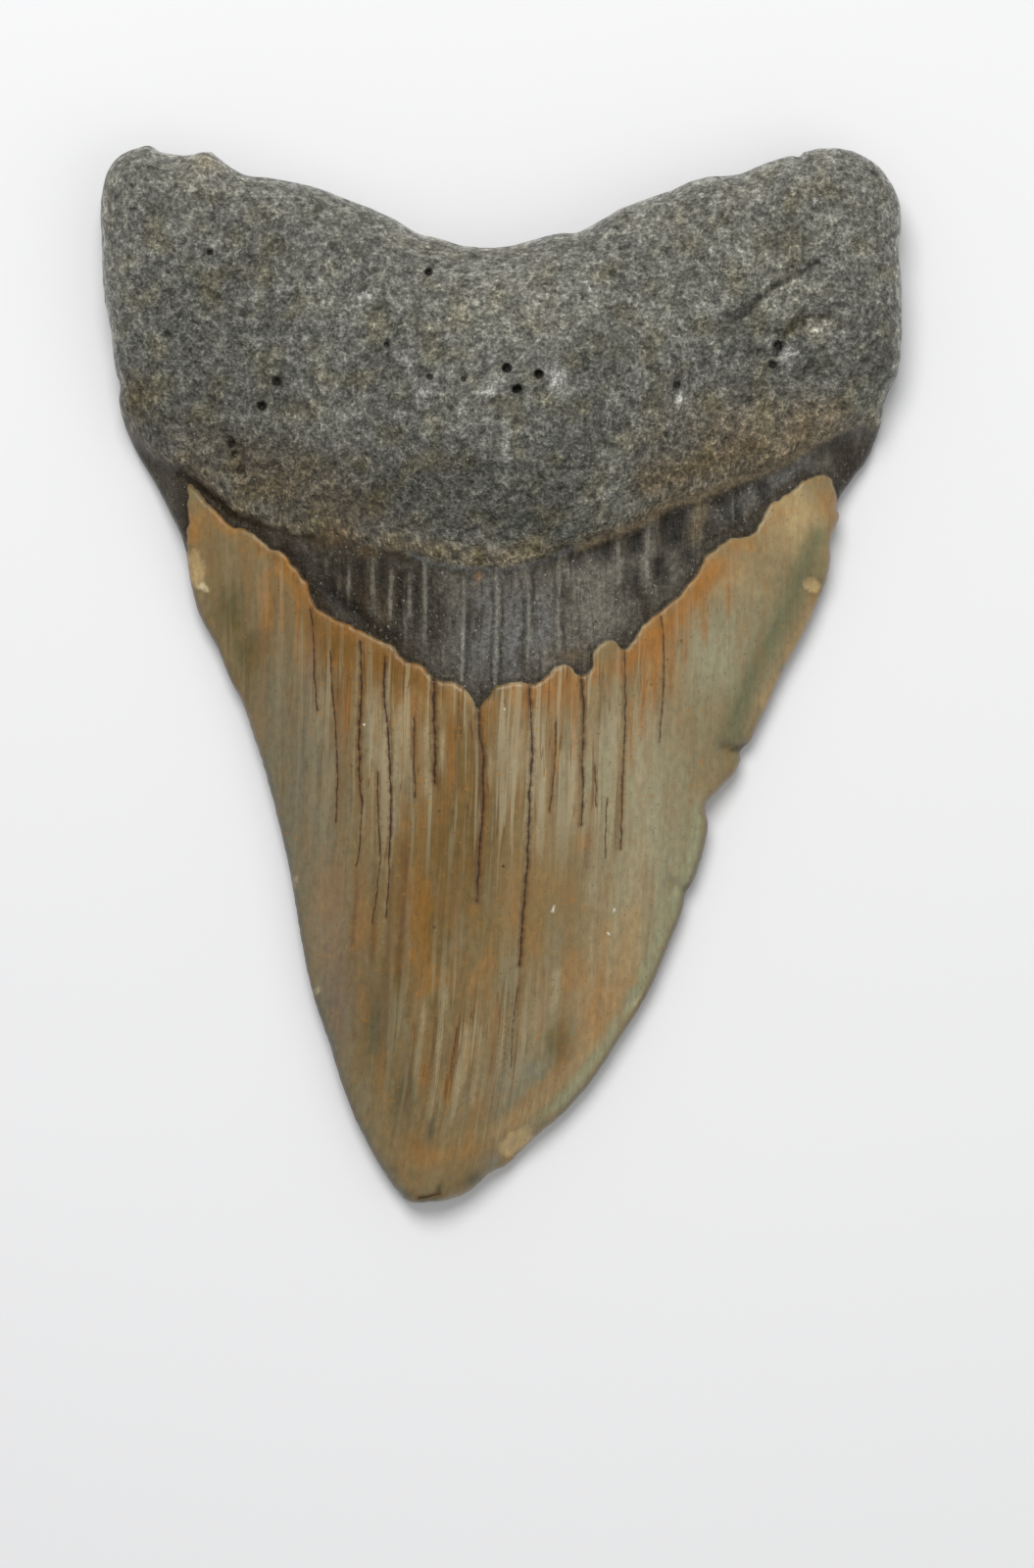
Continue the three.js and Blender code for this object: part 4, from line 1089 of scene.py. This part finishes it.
def paint_margins(tint, places, rim, mask):
    """Green margin and dark line of the worn cutting edges."""
    x, y = places.T
    line = bell(rim, 0.1, 0.2)
    low_right = (x > 0) * plateau(-y, 8, 13, 34, 38)
    paint(tint, MARGIN_GREEN, 0.9 * low_right * bell(rim, 0.85, 0.6) * mask)
    paint(tint, DARK_OLIVE, 0.75 * low_right * line * mask)
    low_left = (x < -5) * smoothstep(-y, 2, 8)
    paint(tint, EDGE_GREEN, 0.6 * low_left * mask * bell(rim, 0, 0.9))
    paint(tint, FLANK_DARK, 0.5 * low_left * line * mask)
    upper_left = (x < -19) * plateau(y, -4, -1, 6, 8)
    paint(tint, DARK_BROWN, 0.7 * upper_left * line * mask)


def paint_enamel(tint, places, seen):
    mask = smoothstep(seen["enamel"], -0.03, 0.05)
    paint_stains_and_light(tint, places, ENAMEL_STAINS, mask)
    rusty = mask * bell(seen["enamel"], 0.5, 0.9)
    patches = smoothstep(grain(places, 1.8, 45, 1.5) + 0.4 * grain(places, 0.7, 46), -0.25, 0.5)
    paint(tint, ORANGE, 0.55 * rusty * patches)
    paint_bands(tint, places, FIELD_BANDS, mask)
    tip = 0.35 + 0.65 * smoothstep(-places[:, 1], 14, 24)
    blotches = grain(places, 1.7, 51, 2.2) + 0.4 * grain(places, 0.7, 52, 2)
    paint(tint, ORANGE, 0.3 * tip * mask * smoothstep(blotches, 0.1, 0.6))
    paint(tint, SLATE, 0.35 * tip * mask * smoothstep(-blotches, 0.1, 0.6))
    paint_bands(tint, places, ENAMEL_BANDS, mask)
    paint_streaks(tint, places, PALE_STREAKS, STREAK_PALE, 0.65, mask)
    paint_streaks(tint, places, RUSTY_STREAKS, DEEP_ORANGE, 0.7, mask)
    paint_streaks(tint, places, BROWN_STREAKS, STREAK_BROWN, 0.6, mask)
    paint_stains_and_light(tint, places, TIP_STAINS, mask)
    paint_chips(tint, places, mask)
    paint_specks(tint, places, mask)
    paint_margins(tint, places, seen["rim"], mask)


def paint_broken_edge(tint, places, seen):
    """The enamel's broken upper edge: a pale line here and there, with a dark line below it that is
    partly its own dark colour and partly painted shadow of the enamel's step.
    """
    x = places[:, 0]
    edge = bell(seen["enamel"], 0.07, 0.06) * (0.6 + 0.6 * grain(places, 0.9, 47))
    for low, high, strength in PALE_EDGE:
        share = plateau(x, low - 0.3, low + 0.3, high - 0.3, high + 0.3)
        paint(tint, CREAM, edge * share * strength)
    # Dark line below the edge: painted shadow of the enamel's step, with some dark colour.
    paint(tint, NEAR_BLACK, 0.55 * bell(seen["enamel"], -0.2, 0.18))


def paint_bourlette(tint, places, share):
    paint(tint, BOURLETTE, share)
    paint_stains_and_light(tint, places, BOURLETTE_STAINS, share)
    plates = grain(places, 1.5, 64, 2) + 0.5 * grain(places, 0.6, 65, 2)
    paint(tint, NEAR_BLACK, 0.5 * share * smoothstep(plates, 0.1, 0.5))
    paint(tint, BOURLETTE_LIGHT, 0.35 * share * smoothstep(-plates, 0.15, 0.6))
    # The bourlette's bands, among them painted shade in its left furrow.
    paint_bands(tint, places, BOURLETTE_BANDS, share)
    paint_streaks(tint, places, BOURLETTE_BLOCKS, PIT_DARK, 0.9, share)
    paint_streaks(tint, places, BOURLETTE_GAPS, PIT_DARK, 0.65, share)
    paint_streaks(tint, places, BOURLETTE_RIDGES, ROOT_LIGHT, 0.6, share)


def paint_tissue(tint, places, mask):
    paint(tint, ROOT, mask)
    # Root stains, with painted light and shade on its top and lower bulge and painted highlights.
    paint_stains_and_light(tint, places, ROOT_STAINS_AND_PAINTED_LIGHT, mask)
    # The root's bands, among them painted shade in its furrows.
    paint_bands(tint, places, ROOT_BANDS, mask)
    clouds = grain(places, 5.5, 66) + 0.6 * grain(places, 2.6, 67)
    paint(tint, ROOT_DARK, 0.4 * mask * smoothstep(clouds, 0.05, 0.8))
    paint(tint, ROOT_LIGHT, 0.3 * mask * smoothstep(-clouds, 0.1, 0.8))
    paint(tint, OLIVE, 0.3 * mask * smoothstep(grain(places, 2.2, 68), -0.1, 0.6))


def paint_root(tint, places, seen):
    """Porous tissue and bourlette, and the lip between them, with painted shade under the lip and in
    the pits and painted light on the root's rim towards its top.
    """
    x, y = places.T
    lip = seen["root"] + 0.4 * grain(places, 0.6, 62, 1.6) + 0.25 * grain(places, 1.7, 63)
    mask = smoothstep(lip, -0.2, 0.2)
    bare = seen["enamel"] < 0
    paint_bourlette(tint, places, (1 - mask) * bare)
    paint_tissue(tint, places, mask)
    paint(tint, LIP, 0.3 * mask * bell(lip, 0.3, 0.3))
    left = (1 - mask) * bare * (1 - smoothstep(x, -9, -5))
    # Painted shadow under the lip's step, on the left.
    paint(tint, NEAR_BLACK, 0.6 * left * bell(lip, -0.35, 0.3))
    paint(tint, NEAR_BLACK, 0.75 * left * bell(seen["enamel"], 0, 1.3))
    paint_bands(tint, places, LIP_BANDS, bare)
    paint_stains_and_light(tint, places, LIP_STAINS, bare)
    # The lobes' upper rims made lighter: painted light where they turn up towards the light.
    lobes = smoothstep(y, 24, 34) * (1 - smoothstep(seen["rim"], 0.5, 5))
    paint(tint, ROOT_LIGHT, 0.35 * mask * lobes)
    # Painted reflection along the root's rim, from its top down to about y 18.
    paint(tint, GLINT, 0.45 * mask * (1 - smoothstep(seen["rim"], 0, 0.9)) * smoothstep(y, 18, 26))
    # Painted shade in the pits.
    paint(tint, PIT_DARK, 0.75 * smoothstep(pit_depth(places, PITS), 0.1, 0.6))


def upper_tint(places, seen, pores):
    tint = np.tile(own_color(ENAMEL), (len(places), 1))
    paint_root(tint, places, seen)
    paint_enamel(tint, places, seen)
    paint_broken_edge(tint, places, seen)
    paint(tint, STREAK_BROWN, 0.4 * (seen["enamel"] > 0) * bell(seen["crack"], 0.1, 0.14))
    # Painted shade in the small pores.
    paint(tint, ROOT_DARK, 0.7 * smoothstep(pit_depth(places, pores), 0.02, 0.12))
    return tint


def streakiness(places):
    """How strongly the enamel's grain shows: most in the middle, just below its broken edge."""
    x, y = places.T
    side = flow_x(x, y)
    middle = np.exp(-(((side + 1.5) / 12) ** 4)) * plateau(y, -19, -9, -1, 4)
    low = bell(side, -1.5, 6) * bell(y, -29, 7)
    left = bell(side, -17, 5) * bell(y, 5, 8)
    right = bell(side, 13, 4) * bell(y, 4, 4)
    patchy = 0.85 + 0.5 * grain(places, 2.5, 48, 2)
    return np.clip(patchy * (middle + 0.8 * low + 0.45 * left + 0.45 * right) + 0.06, 0, 1)


def lower_tint(places):
    x, y = places.T
    tint = np.tile(own_color(ROOT), (len(places), 1))
    enamel = smoothstep(labial_depth(x, y), -0.3, 0.3)
    paint(tint, LABIAL_ENAMEL, enamel)
    streaks = np.stack([flow_x(x, y), y], axis=1)
    paint(tint, GOLDEN, 0.5 * enamel * smoothstep(grain(streaks, 1.6, 51, 8), -0.1, 0.5))
    paint(tint, ROOT_BROWN, 0.4 * (1 - enamel) * smoothstep(grain(places, 6, 52), 0, 0.5))
    return tint


def fit_into(points, low, high):
    """Moves and scales the drawn points to fill the box from low to high."""
    least, most = points.min(0), points.max(0)
    return low + (points - least) * ((high - low) / (most - least))


def add_attribute(mesh, name, kind, parts):
    """A value for each vertex: those of the upper face, and then those of the lower one."""
    field = {"FLOAT": "value", "FLOAT_VECTOR": "vector", "FLOAT_COLOR": "color"}[kind]
    made = mesh.attributes.new(name, kind, "POINT")
    made.data.foreach_set(field, np.concatenate(parts).ravel())


def add_plan_map(mesh, places, below):
    """Two plans side by side: the upper face in the left half, the lower one in the right."""
    corners = np.empty(len(mesh.loops), int)
    mesh.loops.foreach_get("vertex_index", corners)
    plan = places[corners] * PLAN_SCALE
    u = np.where(np.repeat(below, 3), 0.75 - plan[:, 0], 0.25 + plan[:, 0])
    layer = mesh.uv_layers.new(name="OFBake")
    layer.data.foreach_set("uv", np.stack([u, 0.5 + plan[:, 1]], axis=1).ravel())


def add_object(data):
    """An object of that mesh, light or camera, with its name."""
    made = bpy.data.objects.new(data.name, data)
    bpy.context.scene.collection.objects.link(made)
    return made


def build_tooth():
    upper, lower = upper_places(), lower_places()
    pores = small_pores()
    shared = len(outline)
    seen = measure(upper)
    under = lower[shared:]
    under_rim = distance_to(outline_dense, under)
    heights = np.concatenate([upper_height(upper, seen, pores), lower_height(under, under_rim)])
    places = np.vstack([upper, under])
    low, high = (np.array(corner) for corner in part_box("tooth"))
    points = fit_into(np.column_stack([places, heights]), low + BOX_GAP, high - BOX_GAP)

    above = triangulate(upper)
    below = triangulate(lower)[:, ::-1]
    below = np.where(below < shared, below, below - shared + len(upper))
    faces = np.vstack([above, below])
    mesh = bpy.data.meshes.new("tooth_body")
    mesh.from_pydata(points.tolist(), [], faces.tolist())
    mesh.polygons.foreach_set("use_smooth", np.ones(len(faces), bool))

    x, y = places.T
    tint = np.vstack([upper_tint(upper, seen, pores), lower_tint(under)])
    depth = np.clip(labial_depth(*under.T), -2, 2)
    flow = np.column_stack([flow_x(x, y), y, np.zeros(len(x))]) * MM
    add_attribute(mesh, "tint", "FLOAT_COLOR", [np.column_stack([tint, np.ones(len(tint))])])
    add_attribute(mesh, "flow", "FLOAT_VECTOR", [flow])
    add_attribute(mesh, "streaky", "FLOAT", [streakiness(upper), np.full(len(under), 0.3)])
    add_attribute(mesh, "enamel", "FLOAT", [np.clip(seen["enamel"], -2, 2), depth])
    add_attribute(mesh, "root", "FLOAT", [np.clip(seen["root"], -2, 2), -depth])
    add_attribute(mesh, "crack", "FLOAT", [seen["crack"], np.ones(len(under))])
    add_plan_map(mesh, places, np.arange(len(faces)) >= len(above))
    mesh.validate()
    mesh.update()
    return add_object(mesh)


def new_material(name):
    """A material, its node tree and its surface shader."""
    made = bpy.data.materials.new(name)
    made.use_nodes = True
    return made, made.node_tree, made.node_tree.nodes["Principled BSDF"]


fossil, shading, fossil_shader = new_material("fossil")


def add_node(kind, inputs=None, **settings):
    """A node with its settings, its inputs each set to a value or to another's output."""
    made = shading.nodes.new(kind)
    for name, value in settings.items():
        setattr(made, name, value)
    for socket, value in (inputs or {}).items():
        if isinstance(value, bpy.types.NodeSocket):
            shading.links.new(value, made.inputs[socket])
        else:
            made.inputs[socket].default_value = value
    return made


def attribute(name, output="Fac"):
    made = add_node("ShaderNodeAttribute", attribute_type="GEOMETRY", attribute_name=name)
    return made.outputs[output]


def noise_of(vector, scale, detail=2.0, roughness=0.5):
    inputs = {"Vector": vector, "Scale": scale, "Detail": detail, "Roughness": roughness}
    return add_node("ShaderNodeTexNoise", inputs, noise_dimensions="3D").outputs["Fac"]


def remap(value, low, high, to_low, to_high, kind="SMOOTHSTEP"):
    inputs = {"Value": value, "From Min": low, "From Max": high, "To Min": to_low, "To Max": to_high}
    return add_node("ShaderNodeMapRange", inputs, interpolation_type=kind).outputs["Result"]


def swing(value, amount):
    """A factor that follows a noise, up and down from 1 by that amount."""
    return remap(value, 0.3, 0.7, 1 - amount, 1 + amount, "LINEAR")


def calc(operation, a, b=0.0):
    return add_node("ShaderNodeMath", {0: a, 1: b}, operation=operation).outputs[0]


def times(a, b):
    return calc("MULTIPLY", a, b)


def plus(a, b):
    return calc("ADD", a, b)


def minus(a, b):
    return calc("SUBTRACT", a, b)


def off_middle(value):
    """How far a noise is from its middle, which draws lines between its blots."""
    return calc("ABSOLUTE", minus(value, 0.5))


def mix_values(share, a, b):
    return add_node("ShaderNodeMix", {0: share, 2: a, 3: b}, data_type="FLOAT").outputs[0]


def mix_colors(share, a, b, blend="MIX"):
    inputs = {0: share, 6: a, 7: b}
    return add_node("ShaderNodeMix", inputs, data_type="RGBA", blend_type=blend).outputs[2]


def mix_in_color(color, seen, share):
    return mix_colors(share, color, (*own_color(seen), 1))


def drawn_out(vector, share):
    """Places squeezed along Y, so that a noise over them is drawn out along it."""
    inputs = {0: vector, 1: (1, share, 1)}
    return add_node("ShaderNodeVectorMath", inputs, operation="MULTIPLY").outputs[0]


def gray(value):
    inputs = {"Red": value, "Green": value, "Blue": value}
    return add_node("ShaderNodeCombineColor", inputs).outputs[0]


def root_finish(place):
    """Speckled, porous tissue: its brightness and its height."""
    round_grain = noise_of(place, 3200, 3, 0.75)
    long_grain = noise_of(drawn_out(place, 0.3), 3300, 3, 0.7)
    near_lip = remap(attribute("root"), 0.3, 2, 1, 0.15)
    fine = mix_values(near_lip, round_grain, long_grain)
    medium = noise_of(place, 1150, 3, 0.6)
    speckle = calc("POWER", 200.0, minus(fine, 0.49))
    cloud = calc("POWER", 25.0, minus(medium, 0.5))
    return times(speckle, cloud), plus(fine, times(medium, 2.4))


def enamel_finish(flow):
    """Fine streaks along the enamel's grain: their brightness and their height."""
    wide = noise_of(drawn_out(flow, 0.09), 1500, 3, 0.6)
    thin = noise_of(drawn_out(flow, 0.06), 4600)
    mottle = noise_of(drawn_out(flow, 0.5), 2300, 3, 0.6)
    streaks = times(swing(wide, 0.18), swing(thin, 0.1))
    strength = plus(times(attribute("streaky"), 0.75), 0.25)
    bright = times(mix_values(strength, 1.0, streaks), swing(mottle, 0.16))
    return bright, plus(thin, mottle)


def bourlette_finish(flow):
    """Ridges and splits down the bourlette: their brightness and their height."""
    fine = noise_of(drawn_out(flow, 0.8), 2600, 3, 0.7)
    long_grain = noise_of(drawn_out(flow, 0.12), 700, 2, 0.6)
    split = remap(off_middle(long_grain), 0.004, 0.02, 0.75, 1)
    ridge = remap(long_grain, 0.62, 0.68, 1, 1.25)
    bright = times(times(calc("POWER", 16.0, minus(fine, 0.47)), split), ridge)
    return bright, plus(fine, times(split, 0.5))


def add_sparkles(color, place, on_enamel):
    """Painted glints, bright specks that stand for highlights, and dark pores in patches over the
    root and the bourlette.
    """
    patch = remap(noise_of(place, 330), 0.4, 0.62, 0.25, 1)
    bare = times(patch, minus(1.0, on_enamel))
    bright = remap(noise_of(place, 3300, 3, 0.7), 0.6, 0.7, 0, 0.55)
    dark = remap(noise_of(place, 2500, 3, 0.7), 0.4, 0.3, 0, 0.7)
    return mix_in_color(mix_in_color(color, GLINT, times(bright, bare)), PIT_DARK, times(dark, bare))


def add_streaks(color, flow, on_enamel):
    """Pale and rusty strips along the grain, and thin brown lines between them."""
    strength = times(attribute("streaky"), on_enamel)
    strips = noise_of(drawn_out(flow, 0.045), 1250, 2, 0.55)
    color = mix_in_color(color, STREAK_PALE, times(remap(strips, 0.52, 0.6, 0, 0.7), strength))
    color = mix_in_color(color, RUST, times(remap(strips, 0.38, 0.46, 0.55, 0), strength))
    lines = noise_of(drawn_out(flow, 0.03), 1900, 1)
    thin = times(remap(off_middle(lines), 0.004, 0.018, 0.6, 0), plus(strength, 0.15))
    return mix_in_color(color, STREAK_BROWN, times(thin, on_enamel))


def add_specks(color, place, on_enamel):
    """Fine rusty and dark specks over the enamel."""
    rust = remap(noise_of(place, 1700, 3, 0.7), 0.6, 0.72, 0, 0.5)
    dirt = remap(noise_of(place, 3900, 2, 0.6), 0.62, 0.74, 0, 0.55)
    return mix_in_color(mix_in_color(color, ORANGE, times(rust, on_enamel)), DARK_BROWN, times(dirt, on_enamel))


def add_cracks(color, place, on_enamel):
    """Dark open cracks of uneven width, here and there closed."""
    ragged = remap(noise_of(place, 1900, 3, 0.6), 0.35, 0.65, 0.02, 0.105, "LINEAR")
    away = calc("DIVIDE", attribute("crack"), ragged)
    color = mix_in_color(color, STREAK_BROWN, times(remap(away, 1, 5, 0.5, 0), on_enamel))
    return mix_in_color(color, CRACK_DARK, times(remap(away, 0.6, 1.3, 0.85, 0), on_enamel))


def finish_fossil():
    """Colour with painted glints, gloss and fine relief of the three surfaces, mixed by the
    vertices' values.
    """
    place = add_node("ShaderNodeTexCoord").outputs["Object"]
    flow = attribute("flow", "Vector")
    on_enamel = remap(attribute("enamel"), -0.04, 0.04, 0, 1)
    on_root = remap(attribute("root"), -0.5, 0.4, 0, 1)
    root_bright, root_height = root_finish(place)
    band_bright, band_height = bourlette_finish(flow)
    enamel_bright, enamel_height = enamel_finish(flow)

    bright = mix_values(on_root, band_bright, root_bright)
    bright = mix_values(on_enamel, bright, enamel_bright)
    color = mix_colors(1.0, attribute("tint", "Color"), gray(bright), "MULTIPLY")
    warmth = remap(noise_of(drawn_out(flow, 0.15), 900), 0.45, 0.7, 0, 0.3)
    color = mix_colors(times(warmth, on_enamel), color, WARM_BROWN)
    # Painted glints on the root and the bourlette.
    color = add_sparkles(color, place, on_enamel)
    color = add_streaks(color, flow, on_enamel)
    color = add_specks(color, place, on_enamel)
    color = add_cracks(color, place, on_enamel)

    gloss = remap(enamel_height, 0.7, 1.3, 0.34, 0.5, "LINEAR")
    shine = remap(root_height, 1.45, 2, 0.6, 0.36, "LINEAR")
    roughness = mix_values(on_enamel, mix_values(on_root, 0.42, shine), gloss)
    bare_height = mix_values(on_root, band_height, root_height)
    height = mix_values(on_enamel, bare_height, times(enamel_height, 0.1))
    relief = {"Height": height, "Strength": 1.0, "Distance": RELIEF_HEIGHT}
    outputs = {
        "Base Color": color,
        "Roughness": roughness,
        "Specular IOR Level": mix_values(on_enamel, BARE_SPECULAR, ENAMEL_SPECULAR),
        "Normal": add_node("ShaderNodeBump", relief).outputs[0],
    }
    for name, value in outputs.items():
        shading.links.new(value, fossil_shader.inputs[name])


def build_floor():
    corners = [(x * FLOOR_HALF, y * FLOOR_HALF, 0) for x, y in ((-1, -1), (1, -1), (1, 1), (-1, 1))]
    mesh = bpy.data.meshes.new("floor")
    mesh.from_pydata(corners, [], [(0, 1, 2, 3)])
    material, _, shader = new_material("floor")
    shader.inputs["Base Color"].default_value = FLOOR_COLOR
    shader.inputs["Roughness"].default_value = 0.9
    shader.inputs["Specular IOR Level"].default_value = 0.1
    mesh.materials.append(material)
    floor = add_object(mesh)
    floor.location.z = -FLOOR_DROP
    return floor


def add_light(name, place, size, power, color):
    data = bpy.data.lights.new(name, "AREA")
    data.shape = "DISK"
    data.size = size
    data.energy = power
    data.color = color
    light = add_object(data)
    light.location = place
    light.rotation_euler = (-Vector(place)).to_track_quat("-Z", "Y").to_euler()


def light_scene():
    world = bpy.data.worlds.new("soft_light")
    bpy.context.scene.world = world
    world.use_nodes = True
    background = world.node_tree.nodes["Background"]
    background.inputs["Color"].default_value = WORLD_COLOR
    background.inputs["Strength"].default_value = WORLD_STRENGTH
    for light in LIGHTS:
        add_light(*light)


def add_camera():
    data = bpy.data.cameras.new("camera")
    data.lens = LENS
    data.sensor_width = SENSOR_WIDTH
    camera = add_object(data)
    camera.location = CAMERA_PLACE
    bpy.context.scene.camera = camera


tooth = build_tooth()
finish_fossil()
tooth.data.materials.append(fossil)
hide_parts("tooth")
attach(tooth, "root")
build_floor()
light_scene()
add_camera()
bpy.context.scene.view_settings.view_transform = "Standard"
